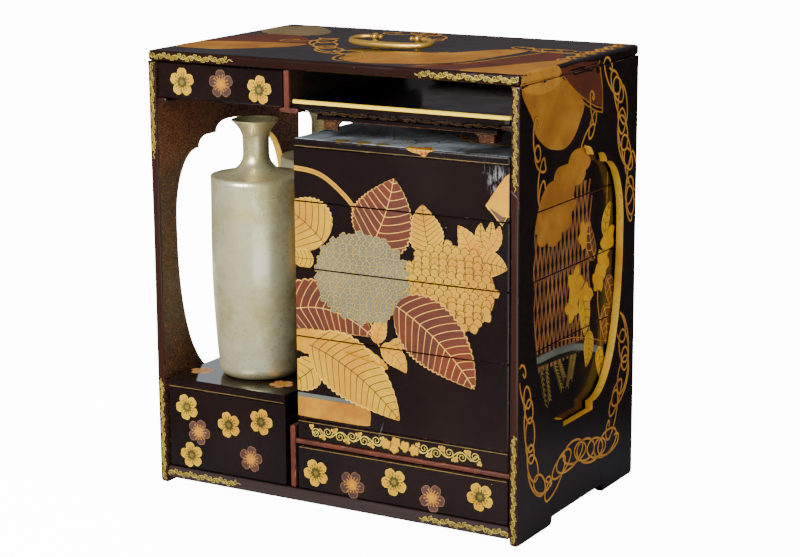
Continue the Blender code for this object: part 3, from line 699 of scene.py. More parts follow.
def leaf(sheet, base, tip, width, finish, lift=0.06, bend=0.06, scallops=16, notch=0.07):
    # half width rises as a power of the way from the base and falls as another to the tip,
    # with a scalloped margin, set off at right angles to a bowed midrib
    rows = scallops * 6 + 1 if scallops else 25
    u = np.linspace(0.004, 0.996, rows)[:, None]
    v = np.linspace(-1.0, 1.0, 9)[None, :]
    base, tip = np.asarray(base, float), np.asarray(tip, float)
    length = np.linalg.norm(tip - base)
    along = (tip - base) / length
    side = np.array([-along[1], along[0]])
    sag, slope = 4 * bend * length * u * (1 - u), 4 * bend * (1 - 2 * u)
    square = np.sqrt(1 + slope ** 2)
    fullness = (u / 0.38) ** 0.56 * ((1 - u) / 0.62) ** 0.92
    half = width / 2 * fullness
    if scallops:
        half = half * (1 - notch * (1 - np.abs(np.sin(np.pi * scallops * u))))
    out = v * half
    a = base[0] + along[0] * (length * u - out * slope / square) + side[0] * (sag + out / square)
    b = base[1] + along[1] * (length * u - out * slope / square) + side[1] * (sag + out / square)
    height = lift + 0.08 * (1 - v ** 2) - 0.03 * np.exp(-(v / 0.1) ** 2) + 0 * u
    addSurface(sheet, a, b, height, (length * u, out), (u, np.abs(v)), finish)


def lobed(radius, lobes, depth, steps=40):
    # round lobes with sharp notches between them
    angle = 2 * np.pi * np.arange(steps) / steps
    return radius * (1 - depth * (1 - np.abs(np.cos(lobes * angle / 2))))


def finishSheet(name, sheet, body="case", limits=(), joints=(), thickness=0.5, hidden=None):
    # the figures as one mesh, cut off at limits and parted at joints, then given thickness
    names = sorted(set(sheet["finish"]))
    mesh = bpy.data.meshes.new(name)
    mesh.from_pydata((np.vstack(sheet["points"]) * mm).tolist(), [], sheet["faces"])
    mesh.polygons.foreach_set("material_index", [names.index(f) for f in sheet["finish"]])
    corners = np.zeros(len(mesh.loops), int)
    mesh.loops.foreach_get("vertex_index", corners)
    for label in ("size", "share"):
        layer = mesh.uv_layers.new(name=label)
        layer.data.foreach_set("uv", np.vstack(sheet[label])[corners].reshape(-1))
    for finish in names:
        mesh.materials.append(inlay(finish))
    bm = bmesh.new()
    bm.from_mesh(mesh)
    cuts = [(*band, False) for band in joints] + [(*band, True) for band in limits]
    for axis, low, high, inside in cuts:
        across = np.eye(3)[axis]
        for level in (low, high):
            point = across * level * mm
            bmesh.ops.bisect_plane(bm, geom=bm.verts[:] + bm.edges[:] + bm.faces[:], dist=1e-7,
                                   plane_co=point, plane_no=across)
        gone = [face for face in bm.faces
                if (low * mm < face.calc_center_median()[axis] < high * mm) != inside]
        bmesh.ops.delete(bm, geom=gone, context="FACES")
    if hidden:
        faces = bm.faces[:]
        gone = hidden(np.array([face.calc_center_median() for face in faces]) / mm)
        bmesh.ops.delete(bm, geom=[face for face, out in zip(faces, gone) if out], context="FACES")
    bm.to_mesh(mesh)
    bm.free()
    mesh.shade_flat()
    piece = bpy.data.objects.new(name, mesh)
    bpy.context.scene.collection.objects.link(piece)
    shell = piece.modifiers.new("thickness", "SOLIDIFY")
    shell.thickness = thickness * mm
    shell.offset = -1.0
    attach(piece, body)


# Closed surfaces: a grid of points that meets itself both ways, or is turned round an axis
def newPiece(name, points, faces, materials, indices=None):
    mesh = bpy.data.meshes.new(name)
    mesh.from_pydata((points * mm).tolist(), [], faces.tolist())
    for material in materials:
        mesh.materials.append(material)
    if indices is not None:
        mesh.polygons.foreach_set("material_index", indices.tolist())
    mesh.shade_smooth()
    piece = bpy.data.objects.new(name, mesh)
    bpy.context.scene.collection.objects.link(piece)
    return piece


def outwardFaces(points, faces):
    # the volume under all faces, counted from the origin, is positive when they face outwards
    first, second, third = points[faces[:, 0]], points[faces[:, 1]], points[faces[:, 2]]
    last = points[faces[:, -1]]
    volume = np.sum(first * np.cross(second, third)) + np.sum(first * np.cross(third, last))
    return faces if volume > 0 else faces[:, ::-1]


def ringIndex(grid):
    # numbers of a grid's points, and of the next ones along each row
    index = np.arange(grid[..., 0].size).reshape(grid.shape[:2])
    return index, np.roll(index, -1, axis=1)


def torusGrid(grid):
    # rows and columns both join up with their first
    index, beside = ringIndex(grid)
    faces = np.stack([index, beside, np.roll(beside, -1, axis=0), np.roll(index, -1, axis=0)],
                     axis=-1).reshape(-1, 4)
    points = grid.reshape(-1, 3)
    return points, outwardFaces(points, faces)


def turnedGrid(profile, centre, steps):
    # radius and height along a closed section, carried round an upright axis
    angle = 2 * np.pi * np.arange(steps) / steps
    radius, height = np.asarray(profile, float).T
    grid = np.stack([centre[0] + radius[:, None] * np.cos(angle),
                     centre[1] + radius[:, None] * np.sin(angle),
                     centre[2] + height[:, None] + 0 * angle], axis=-1)
    return torusGrid(grid)


# Side panels: a ring between the cusped opening and the footed outline
panelShape = {
    "outside": 150.0,
    "thickness": 6.3,
    "halfDepth": 95.0,
    "height": 317.0,
    "footInner": 42.0,
    "footHeight": 5.6,
    "footRound": 2.4,
    "rim": 1.6,
    "openingRim": 0.5,
    "halfWidth": 73.3,
    "sill": 68.0,
    "openingHeight": 195.3,
    "sillShare": 0.334,
    "stepShare": 0.031,
    "belly": (0.625, 0.670),
    "lobes": ((0.62, 0.590, 0.915), (0.437, 0.280, 0.958), (0.08, 0.0, 1.0)),
    "flankPower": 2.2,
    # the height from which bearings are taken, and how far pictures stay off the opening
    "eyeLevel": 190.0,
    "bareRim": 0.8,
}


def openingHalf(shape):
    # stepped sill, a flank on a power curve and quarter-ellipse lobes, in shares of the half
    # width and the height, from the middle of the sill to the crown
    angle = np.linspace(0, np.pi / 2, 49)
    reach = 2 / shape["flankPower"]
    across = shape["sillShare"] + (1 - shape["sillShare"]) * np.sin(angle) ** reach
    climb = shape["belly"][0] - (shape["belly"][0] - shape["stepShare"]) * np.cos(angle) ** reach
    parts = [np.stack([np.linspace(0, shape["sillShare"], 9), np.zeros(9)], axis=1),
             np.stack([across, climb], axis=1)]
    outer, springing = 1.0, shape["belly"][1]
    angle = np.linspace(0, np.pi / 2, 19)
    for flat, cusp, crown in shape["lobes"]:
        parts.append(np.stack([flat + (outer - flat) * np.cos(angle),
                               springing + (crown - springing) * np.sin(angle)], axis=1))
        parts.append(np.array([[cusp, crown]]))
        outer, springing = cusp, crown
    half = np.vstack(parts)
    return half * (shape["halfWidth"], shape["openingHeight"]) + (0, shape["sill"])


def footedHalf(shape):
    # from the middle of the foot's gap, round the foot, up the edge and in along the top
    edge, inner, foot = shape["halfDepth"], shape["footInner"], shape["footHeight"]
    turn, angle = shape["footRound"], np.linspace(0, np.pi / 2, 7)
    gap = np.stack([np.linspace(0, inner - turn, 13), np.full(13, foot)], axis=1)
    hollow = np.stack([inner - turn + turn * np.sin(angle), foot - turn + turn * np.cos(angle)],
                      axis=1)
    toe = np.stack([inner + turn - turn * np.cos(angle), turn - turn * np.sin(angle)], axis=1)
    sole = np.stack([np.linspace(inner + turn, edge - turn, 13), np.zeros(13)], axis=1)
    heel = np.stack([edge - turn + turn * np.sin(angle), turn - turn * np.cos(angle)], axis=1)
    return [np.vstack([gap, hollow, toe, sole, heel[:4]]),
            np.vstack([heel[3:], [[edge, shape["height"]]]]),
            np.array([[edge, shape["height"]], [0.0, shape["height"]]])]


def inOpening(places):
    # places on a side panel whose level line crosses the opening's outline an odd number of times
    outline = openingHalf(panelShape)
    y, z = np.abs(places[:, 1])[:, None], places[:, 2][:, None]
    y0, z0, y1, z1 = outline[:-1, 0], outline[:-1, 1], outline[1:, 0], outline[1:, 1]
    spans = (z0 > z) != (z1 > z)
    cross = y0 + (z - z0) * (y1 - y0) / np.where(z1 == z0, 1.0, z1 - z0)
    inside = np.sum(spans & (cross > y - panelShape["bareRim"]), axis=1) % 2 == 1
    return inside & (np.abs(places[:, 0]) > panelShape["outside"] - 1.0)


def matchedLoops(shape):
    # both outlines cut at the same shares of their length between matching corners
    opening, outer = openingHalf(shape), footedHalf(shape)
    middle = shape["eyeLevel"]
    bearing = np.arctan2(opening[:, 0], middle - opening[:, 1])
    cuts = [0]
    for corner in ((shape["halfDepth"], 0.0), (shape["halfDepth"], shape["height"])):
        wanted = math.atan2(corner[0], middle - corner[1])
        cuts.append(int(np.argmin(np.abs(bearing - wanted))))
    cuts.append(len(opening) - 1)
    inside, outside = [], []
    for number, outline in enumerate(outer):
        part = opening[cuts[number]:cuts[number + 1] + 1]
        own, other = (alongPath(path) / alongPath(path)[-1] for path in (part, outline))
        shares = np.unique(np.round(np.r_[own, other, np.linspace(0, 1, 25)], 5))
        kept = shares[:-1]
        inside.append(np.stack([np.interp(kept, own, part[:, k]) for k in (0, 1)], axis=1))
        outside.append(np.stack([np.interp(kept, other, outline[:, k]) for k in (0, 1)], axis=1))
    inside, outside = np.vstack(inside), np.vstack(outside)
    crown = np.array([[0.0, shape["sill"] + shape["openingHeight"]]])
    flip = np.array([-1.0, 1.0])
    inside = np.vstack([inside, crown, (inside[1:] * flip)[::-1]])
    outside = np.vstack([outside, [[0.0, shape["height"]]], (outside[1:] * flip)[::-1]])
    return inside, outside


def sidePanel(name, side, node, outer, gilt, inner):
    # section stations go round the thickness: opening wall, outer face, edge, inner face
    shape = panelShape
    inside, outside = matchedLoops(shape)
    direction = outside - inside
    direction /= np.linalg.norm(direction, axis=1, keepdims=True)
    thick, rim = shape["thickness"], shape["openingRim"]
    edge = np.where(outside[:, 1] > shape["height"] - 0.01, 0.15, shape["rim"])[:, None]
    angle = np.linspace(0, np.pi / 2, 5)
    rows, depths, zones = [], [], []

    def station(place, depth, zone):
        rows.append(place)
        depths.append(np.broadcast_to(depth, (len(inside), 1))[:, 0])
        zones.append(zone)

    station(inside, thick / 2, 1)
    for a in angle:
        station(inside + direction * rim * (1 - math.cos(a)), rim * (1 - math.sin(a)), 0)
    start, end = inside + direction * (rim + 0.5), outside - direction * (edge + 0.5)
    for share in np.linspace(0, 1, 7):
        station(start + (end - start) * share, 0.0, 0)
    for a in angle:
        station(outside - direction * edge * (1 - math.sin(a)), edge * (1 - math.cos(a)), 0)
    station(outside, thick / 2, 0)
    for a in angle:
        station(outside - direction * edge * (1 - math.cos(a)), thick - edge * (1 - math.sin(a)), 0)
    for share in np.linspace(1, 0, 7):
        station(start + (end - start) * share, thick, 2)
    for a in angle:
        station(inside + direction * rim * (1 - math.sin(a)), thick - rim * (1 - math.cos(a)), 1)
    plane = np.stack(rows)
    across = side * (shape["outside"] - np.stack(depths))
    grid = np.concatenate([across[..., None], plane], axis=-1)
    points, faces = torusGrid(grid)
    indices = np.repeat(np.array(zones), len(inside))
    piece = newPiece(name, points, faces, [outer, gilt, inner], indices)
    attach(piece, "case")
    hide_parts(node)


giltLook = {
    "bright": tone(246, 198, 58),
    "deep": tone(220, 152, 36),
    "worn": tone(120, 70, 34),
}


def makeGilt():
    # burnished gold on the walls of the openings, thin in places
    material, tree, shader = newMaterial("giltWall", 0.3, 0.3)
    point = objectPoint(tree)
    colour = mixed(tree, rise(tree, noise(tree, point, 30.0, 5.0, 0.65), 0.35, 0.7),
                   giltLook["bright"], giltLook["deep"])
    thin = rise(tree, noise(tree, point, 110.0, 5.0, 0.7), 0.64, 0.72)
    colour = mixed(tree, times(tree, thin, 0.6), colour, giltLook["worn"])
    finished(tree, shader, colour, rise(tree, noise(tree, point, 60.0, 3.0), 0.3, 0.7, 0.24, 0.42),
             noise(tree, point, 260.0, 3.0), 0.2, 0.0002)
    return material


nashijiLook = {
    "ground": tone(46, 29, 22),
    "warm": tone(134, 74, 46),
    "flake": tone(170, 126, 80),
    "redBand": (226.0, 252.0, 276.0, 292.0),
}


def nashiji(name):
    # gold and red dust under clear lacquer, thickest in a band below the drawer
    material, tree, shader = newMaterial(name, 0.3)
    point = objectPoint(tree)
    level = axesOf(tree, point)[2]
    low, full, ebb, end = (x * mm for x in nashijiLook["redBand"])
    band = times(tree, rise(tree, level, low, full), rise(tree, level, end, ebb))
    fine = rise(tree, noise(tree, point, 1500.0, 3.0, 0.7), 0.42, 0.62)
    warmth = times(tree, fine, maths(tree, "ADD", times(tree, band, 0.8), 0.16))
    colour = mixed(tree, warmth, nashijiLook["ground"], nashijiLook["warm"])
    colour, _ = sprinkled(tree, point, colour, nashijiLook["flake"], 1300.0, 0.26)
    finished(tree, shader, colour, rise(tree, fine, 0.0, 1.0, 0.24, 0.4), fine, 0.15, 0.0001)
    return material


gilt = makeGilt()
panelFront = {"front": tone(44, 22, 14), "edgeWearAndHighlight": 0.06}
for side, name, node in ((-1, "panelLeft", "case_side_left"), (1, "panelRight", "case_side_right")):
    sidePanel(name, side, node, lacquer(name + "Lacquer", node, panelFront), gilt,
              nashiji(name + "Inside"))
print("side panels made")


# Pewter bottles, turned, hollow and open
bottleShape = {
    "height": 190.4,
    "lip": 17.7,
    "neck": 9.7,
    "body": 33.7,
    "lean": 3.0,
    "neckHeight": 41.0,
    "flare": 15.6,
    "shoulderRise": 16.4,
    "lipPower": 2.2,
    "shoulderPowers": (2.1, 1.7),
    "bodyLevels": (0.42, 0.20),
    "baseRound": 8.5,
    "baseInset": 6.0,
    "wall": 1.6,
    "floor": 2.6,
    "lipRound": 0.7,
    "steps": 112,
}
pewterLook = {
    "bright": tone(250, 244, 200),
    "dull": tone(200, 186, 126),
    "pit": tone(92, 86, 58),
    "scratch": tone(240, 238, 220),
    # heights over the foot and below the lip where it is duller, and the shoulder's crowd of pits
    "footBand": (9.0, 1.0),
    "neckBand": (48.0, 26.0),
    "shoulderLine": 43.0,
}


def bottleOutline(shape):
    # flared lip and concave shoulder as powers of the way down, then a smooth body and foot
    height, neck, body = shape["height"], shape["neck"], shape["body"]
    shoulder, foot = height - shape["neckHeight"], shape["body"] - shape["lean"]
    lipRound = shape["lipRound"]
    share = np.linspace(0, 1, 25)
    lip = np.stack([neck + (shape["lip"] - neck) * (1 - share) ** shape["lipPower"],
                    height - lipRound - (shape["flare"] - lipRound) * share], axis=1)
    share = np.linspace(0, 1, 33)[1:]
    slope = np.stack([neck + (body - neck) * share ** shape["shoulderPowers"][0],
                      shoulder + shape["shoulderRise"] * (1 - share) ** shape["shoulderPowers"][1]],
                     axis=1)
    first, second = shape["bodyLevels"]
    side = smoothPath([[body, shoulder - shape["baseRound"] / 2],
                       [body + shape["lean"] / 6, height * first],
                       [body - shape["lean"] / 3, height * second],
                       [foot, shape["baseRound"]]], 14)
    angle = np.linspace(0, np.pi / 2, 13)[1:]
    base = np.stack([foot - shape["baseInset"] * (1 - np.cos(angle)),
                     shape["baseRound"] * (1 - np.sin(angle))], axis=1)
    return np.vstack([lip, slope, side, base])


def bottle(name, node, material):
    shape = bottleShape
    low, high = span(node)
    outline = bottleOutline(shape)
    angle = np.linspace(0, np.pi, 9)[1:-1]
    half, lipRound, floor = shape["wall"] / 2, shape["lipRound"], shape["floor"]
    rim = np.stack([shape["lip"] - half + half * np.cos(angle),
                    shape["height"] - lipRound + lipRound * np.sin(angle)], axis=1)[::-1]
    inside = (outline[outline[:, 1] > 3 * shape["wall"]] - (shape["wall"], 0.4))[::-1]
    bottom = [[0.02, floor], [inside[0, 0] - 4.0, floor]]
    under = [[outline[-1, 0] * 0.86, 0.0], [outline[-1, 0] * 0.8, 0.5], [0.02, 0.5]]
    profile = np.vstack([bottom, inside, rim, outline, under])
    centre = ((low[0] + high[0]) / 2, (low[1] + high[1]) / 2, low[2])
    points, faces = turnedGrid(profile, centre, shape["steps"])
    piece = newPiece(name, points, faces, [material])
    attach(piece, "case")
    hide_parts(node)


def pewter(name, node):
    # cast and polished tin alloy: soft clouding, pits, light scratches, chips by the foot
    low, high = span(node)
    material, tree, shader = newMaterial(name, 0.38, 0.74)
    point = objectPoint(tree)
    cloud = rise(tree, noise(tree, point, 26.0, 6.0, 0.7), 0.34, 0.7)
    colour = mixed(tree, cloud, pewterLook["bright"], pewterLook["dull"])
    level = axesOf(tree, point)[2]
    foot = rise(tree, level, *((low[2] + x) * mm for x in pewterLook["footBand"]))
    neck = rise(tree, level, *((high[2] - x) * mm for x in pewterLook["neckBand"]))
    ends = maths(tree, "MAXIMUM", foot, neck)
    dark = times(tree, ends, rise(tree, noise(tree, point, 90.0, 5.0, 0.7), 0.2, 0.7, 0.35, 0.8))
    colour = mixed(tree, dark, colour, pewterLook["dull"])
    off = maths(tree, "SUBTRACT", level, (high[2] - pewterLook["shoulderLine"]) * mm)
    shoulder = rise(tree, maths(tree, "ABSOLUTE", off), 0.006, 0.001)
    crowd = times(tree, maths(tree, "ADD", maths(tree, "MAXIMUM", ends, shoulder), 0.16),
                  rise(tree, noise(tree, point, 60.0, 4.0, 0.6), 0.4, 0.62))
    pits = speckled(tree, point, 620.0, crowd, 0.3)["Mask"]
    colour = mixed(tree, times(tree, pits, 0.7), colour, pewterLook["pit"])
    colour, _ = scratched(tree, point, colour, 60.0, 0.2, 0.4, pewterLook["scratch"])
    roughness = maths(tree, "ADD", rise(tree, cloud, 0.0, 1.0, 0.3, 0.46), times(tree, pits, 0.2))
    dents = maths(tree, "ADD", noise(tree, point, 45.0, 3.0), times(tree, pits, -0.35))
    finished(tree, shader, colour, roughness, dents, 0.3, 0.0005)
    return material


for name, node in (("bottleFront", "bottle_front"), ("bottleBack", "bottle_back")):
    bottle(name, node, pewter(name + "Pewter", node))
print("bottles made")


# Brass bail and its two posts
bailShape = {
    "pivot": (0.0, 3.5, 331.2),
    "eye": 17.7,
    "ball": 2.9,
    "knob": 1.9,
    "pin": 1.15,
    "arm": 1.65,
    "grip": 2.45,
    "straight": 21.0,
    "side": 12.0,
    "back": 7.6,
    "reach": 16.9,
    "fullness": 0.84,
    "drop": 3.45,
    "gap": 0.3,
    "around": 28,
}
brassLook = {
    "bright": tone(226, 180, 84),
    "brown": tone(150, 102, 42),
    "scratch": tone(246, 222, 160),
}


def bailPath(shape):
    # half the bail: knob on a sphere's section, pin, a quarter ellipse round the end, then a
    # fuller quarter (cosine and sine to one power) to the middle of the swelling grip
    knobEnd = math.asin(shape["pin"] / shape["knob"])
    angle = np.linspace(np.pi, knobEnd, 13)
    middle = shape["eye"] - shape["ball"] - shape["knob"]
    knob = np.stack([middle + shape["knob"] * np.cos(angle), 0 * angle,
                     np.maximum(shape["knob"] * np.sin(angle), 0.12)], axis=1)
    out = shape["eye"] + shape["ball"]
    pin = np.array([[out + shape["gap"], 0.0, shape["pin"]],
                    [out + 2 * shape["gap"], 0.0, (shape["pin"] + shape["arm"]) / 2]])
    angle = np.linspace(0, np.pi / 2, 15)
    radius = shape["back"]
    turn = np.stack([shape["straight"] + shape["side"] * np.sin(angle),
                     radius * (1 - np.cos(angle)), np.full(15, shape["arm"])], axis=1)
    angle = np.linspace(0, np.pi / 2, 33)[1:]
    along = np.maximum(np.cos(angle), 0.0) ** shape["fullness"]
    across = np.sin(angle) ** shape["fullness"]
    grip = np.stack([(shape["straight"] + shape["side"]) * along,
                     radius + (shape["reach"] - radius) * across,
                     shape["arm"] + (shape["grip"] - shape["arm"]) * np.sin(angle)], axis=1)
    grip[-1, 0] = 0.0
    return np.vstack([knob, pin, turn, grip])


def bail(material):
    shape = bailShape
    half = bailPath(shape)
    whole = np.vstack([half, (half[:-1] * (-1, 1, 1))[::-1]])
    slope = math.asin(shape["drop"] / shape["reach"])
    forward = np.array([0.0, -math.cos(slope), -math.sin(slope)])
    rightward = np.array([1.0, 0.0, 0.0])
    upward = np.cross(rightward, forward)
    heading = np.gradient(whole[:, :2], axis=0)
    heading /= np.linalg.norm(heading, axis=1, keepdims=True)
    normal = heading[:, 1:] * rightward - heading[:, :1] * forward
    angle = 2 * np.pi * np.arange(shape["around"]) / shape["around"]
    centre = whole[:, :1] * rightward + whole[:, 1:2] * forward
    ring = whole[:, 2][:, None, None] * (np.cos(angle)[None, :, None] * normal[:, None, :]
                                         + np.sin(angle)[None, :, None] * upward)
    grid = np.array(shape["pivot"]) + centre[:, None, :] + ring
    index, beside = ringIndex(grid)
    faces = np.stack([index[:-1], beside[:-1], beside[1:], index[1:]], axis=-1).reshape(-1, 4)
    points = grid.reshape(-1, 3)
    ends = np.array([grid[0].mean(axis=0), grid[-1].mean(axis=0)])
    first = np.full(len(angle), len(points))
    caps = np.vstack([np.stack([first, beside[0], index[0], index[0]], axis=1),
                      np.stack([first + 1, index[-1], beside[-1], beside[-1]], axis=1)])
    points = np.vstack([points, ends])
    faces = outwardFaces(points, np.vstack([faces, caps]))
    mesh = [list(dict.fromkeys(face)) for face in faces.tolist()]
    piece = newPiece("handleBail", points, np.array(mesh, dtype=object), [material])
    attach(piece, "handle")
    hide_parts("handle_bail")


def makeBrass(name):
    # polished brass, brown where it isn't handled
    material, tree, shader = newMaterial(name, 0.34, 0.75)
    point = objectPoint(tree)
    cloud = rise(tree, noise(tree, point, 210.0, 5.0, 0.65), 0.38, 0.74)
    colour = mixed(tree, times(tree, cloud, 0.55), brassLook["bright"], brassLook["brown"])
    colour, _ = scratched(tree, point, colour, 150.0, 0.22, 0.5, brassLook["scratch"])
    finished(tree, shader, colour, rise(tree, cloud, 0.0, 1.0, 0.28, 0.44),
             noise(tree, point, 330.0, 3.0), 0.1, 0.0001)
    return material


brass = makeBrass("brass")
bail(brass)


# Finishes of the nodes that keep their own shape
def dress(node, material):
    mesh = cadNodes[node].data
    mesh.materials.clear()
    mesh.materials.append(material)


# the pale arris lines on these boxes are worn edges with a painted highlight along them
boxLooks = {
    "case_top": {"front": tone(34, 17, 12), "roughness": (0.1, 0.2), "edgeWearAndHighlight": 0.03},
    # the bottom board's front is greyer and lighter than the top board's: brown lacquer with a
    # painted sheen of light over it
    "case_bottom": {"front": tone(48, 37, 36), "edgeWearAndHighlight": 0.04},
    "upper_drawer": {"hollow": True, "edgeWearAndHighlight": -0.02},
    "lower_drawer": {"hollow": True, "edgeWearAndHighlight": 0.02},
    "low_box": {"hollow": True, "edgeWearAndHighlight": 0.02},
    "low_box_lid": {"roughness": (0.06, 0.14), "edgeWearAndHighlight": 0.02},
    "stack_base": {"hollow": True, "edgeWearAndHighlight": 0.02},
    "tier_1": {"hollow": True, "edgeWearAndHighlight": 0.06, "scuff": ((133.5, -93.5, 253.0), (11.0, 20.0, 15.0)),
               "rubbed": tone(138, 138, 136)},
    "tier_2": {"hollow": True, "edgeWearAndHighlight": 0.06},
    "tier_3": {"hollow": True, "edgeWearAndHighlight": 0.06},
    "tier_4": {"hollow": True, "edgeWearAndHighlight": 0.1, "worn": tone(128, 54, 34)},
    # the lid's top gets a pale bluish painted reflection
    "stack_lid": {"roughness": (0.14, 0.3), "edgeWearAndHighlight": 0.04, "paintedReflection": tone(168, 178, 184)},
    "cup_tray": {"goldBand": (294.6, 297.1), "bandWear": 0.3, "goldLine": tone(250, 212, 50),
                 "dusted": 283.0},
    "rail_left": {"front": tone(40, 22, 16)},
    "rail_right": {"front": tone(40, 22, 16)},
}
for node, look in boxLooks.items():
    dress(node, lacquer(node + "Lacquer", node, look))
for node in ("upper_partition", "lower_partition", "shelf"):
    dress(node, redLacquer(node + "Lacquer", node))
for node in ("handle_post_left", "handle_post_right"):
    dress(node, brass)
print("finishes laid on the carried nodes")


# Repeated ornament
def waveStem(length, swing, pitch, tail):
    # a sine whose swing dies away and whose waves crowd together over the tail
    s = np.arange(0.0, length, 0.4)
    body = length - tail
    fade = np.clip((length - s) / tail, 0.0, 1.0) ** 0.45
    turns = np.where(s < body, s / pitch, body / pitch + (s - body) / (0.42 * pitch))
    return s, swing * fade * np.sin(np.pi * turns)


def scrollBand(sheet, start, heading, length, width, flip=1.0, line="scrollGold", fill="olive",
               pace=1.62, ending=2.6):
    # vine scroll: waving stem, a spiral in each hollow, a three-lobed leaf on each crest
    heading, start = np.asarray(heading, float), np.asarray(start, float)
    across = np.array([-heading[1], heading[0]]) * flip

    def lay(s, t):
        return start + np.outer(s, heading) + np.outer(t, across)

    pitch, tail = pace * width, ending * width
    s, t = waveStem(length, 0.27 * width, pitch, tail)
    ribbon(sheet, lay(s, t), 0.085 * width, line, lift=0.12)
    lobes = lobed(0.23 * width, 3, 0.5, 18)
    for number in range(int((length - tail) / pitch) + 1):
        side = 1.0 if number % 2 == 0 else -1.0
        middle = (number + 0.5) * pitch
        turn = np.linspace(0.0, 3.3 * np.pi, 46)
        size = 0.41 * width * (1 - turn / (4.1 * np.pi))
        s = middle + 0.1 * pitch - size * np.cos(turn)
        t = side * (-0.1 * width + size * np.sin(turn) * 0.95)
        ribbon(sheet, lay(s, t), 0.075 * width * (1 - 0.3 * turn / turn[-1]), line, lift=0.14)
        for offset, climb in ((0.46, 0.36), (-0.36, -0.3)):
            place = lay([middle + offset * pitch], [side * climb * width])[0]
            turned = side * climb * 4
            disc(sheet, place, lobes, line, lift=0.12, dome=0.02, rings=1, turn=turned)
            disc(sheet, place, lobes * 0.68, fill, lift=0.17, dome=0.0, rings=1, turn=turned)


def blossom(sheet, centre, radius, petal, rim, heart, middle=None, turn=0.0, odd=None, lift=0.06):
    # five round notched petals with a rim of another tone, and a heart with stamens
    step = np.linspace(0, 2 * np.pi, 20, endpoint=False)
    notch = 1 - 0.16 * np.exp(-(np.minimum(step, 2 * np.pi - step) / 0.3) ** 2)
    centre = np.asarray(centre, float)
    for number in range(5):
        angle = turn + 2 * np.pi * number / 5 + np.pi / 2
        place = centre + 0.62 * radius * np.array([math.cos(angle), math.sin(angle)])
        disc(sheet, place, 0.38 * radius * notch, rim, lift=lift, dome=0.02, turn=angle, rings=1)
        disc(sheet, place, 0.33 * radius * notch, odd if odd and number == 1 else petal,
             lift=lift + 0.05, dome=0.04, turn=angle, rings=1)
    disc(sheet, centre, lobed(0.43 * radius, 10, 0.3, 40), heart, lift=lift + 0.12, rings=1)
    for number in range(15):
        angle = turn + 2 * np.pi * number / 15
        way = np.array([math.cos(angle), math.sin(angle)])
        reach = radius * (0.56 + 0.07 * math.sin(number * 2.4))
        ribbon(sheet, centre + np.outer(np.linspace(0.1 * radius, reach, 4), way), 0.045 * radius,
               heart, lift=lift + 0.14, crown=0.02)
        disc(sheet, centre + reach * way, np.full(8, 0.055 * radius), heart, lift=lift + 0.15,
             dome=0.03, rings=1)
    disc(sheet, centre, np.full(14, 0.17 * radius), middle or rim, lift=lift + 0.18, dome=0.05,
         rings=1)


def floretBall(sheet, centre, size, radius, rowHeight, finish, lift, seed, notch=0.16,
               dot="dullGold"):
    # four-lobed florets in staggered rows, each row laid over the one above it
    chance = np.random.default_rng(seed)
    reachX, reachY = size
    outline = smoothLoop([[centre[0] + reachX * math.cos(a), centre[1] + reachY * math.sin(a)]
                          for a in np.linspace(0, 2 * np.pi, 14, endpoint=False)], 5)
    patch(sheet, outline, finish, lift=lift, dome=0.02)
    rows = int(2 * reachY / rowHeight)
    for row in range(rows + 1):
        y = reachY - row * rowHeight
        width = reachX * math.sqrt(max(0.0, 1 - (y / reachY) ** 2)) + 0.2 * radius
        count = int(2 * width / (1.96 * radius)) + 1
        for number in range(count):
            x = (number - (count - 1) / 2) * 1.96 * radius + (0.5 if row % 2 else -0.5) * radius
            if (x / reachX) ** 2 + (y / reachY) ** 2 > 1.06:
                continue
            place = (centre[0] + x + chance.uniform(-0.14, 0.14) * radius,
                     centre[1] + y + chance.uniform(-0.12, 0.12) * radius)
            disc(sheet, place, lobed(radius * chance.uniform(1.0, 1.16), 4, notch, 28), finish,
                 lift=lift + 0.08 + 0.03 * row + 0.02 * (number % 2), dome=0.03, rings=2,
                 turn=chance.uniform(0, 1.5))
            disc(sheet, place, np.full(7, 0.15 * radius), dot,
                 lift=lift + 0.13 + 0.03 * row + 0.02 * (number % 2), dome=0.02, rings=1)


def stem(sheet, points, width, finish="gold"):
    path = smoothPath(points)
    ribbon(sheet, path, np.linspace(width, 0.6 * width, len(path)), finish, lift=0.05)


def loopCord(sheet, points, loop, spacing, width):
    # long rings that follow a path: an ellipse's turning offset, set along and across the way;
    # the cord rises and falls slowly, so each pass has a dark edge over the one below
    path = smoothPath(points, 40)
    steps = alongPath(path)
    s = np.linspace(0, steps[-1], int(steps[-1] * 2.2 * loop / spacing * 4) + 8)
    middle = np.stack([np.interp(s, steps, path[:, k]) for k in (0, 1)], axis=1)
    side = sideways(middle)
    way = side[:, ::-1] * (1, -1)
    turn = 2 * np.pi * s / spacing
    ease = np.clip(np.minimum(s, steps[-1] - s) / (0.5 * spacing), 0.0, 1.0)
    size = loop * ease * (1 + 0.2 * np.sin(turn * 0.37 + 1.0))
    swing = turn + 0.55 * np.sin(0.61 * turn)
    curve = (middle + 1.55 * size[:, None] * np.cos(swing)[:, None] * way
             + 0.78 * size[:, None] * np.sin(swing)[:, None] * side)
    height = 0.08 + 0.22 * (0.5 + 0.5 * np.sin(turn / 2))
    ribbon(sheet, curve, width * 1.5, "darkLine", height - 0.05, 0.04)
    ribbon(sheet, curve, width, "cord", height, 0.04)


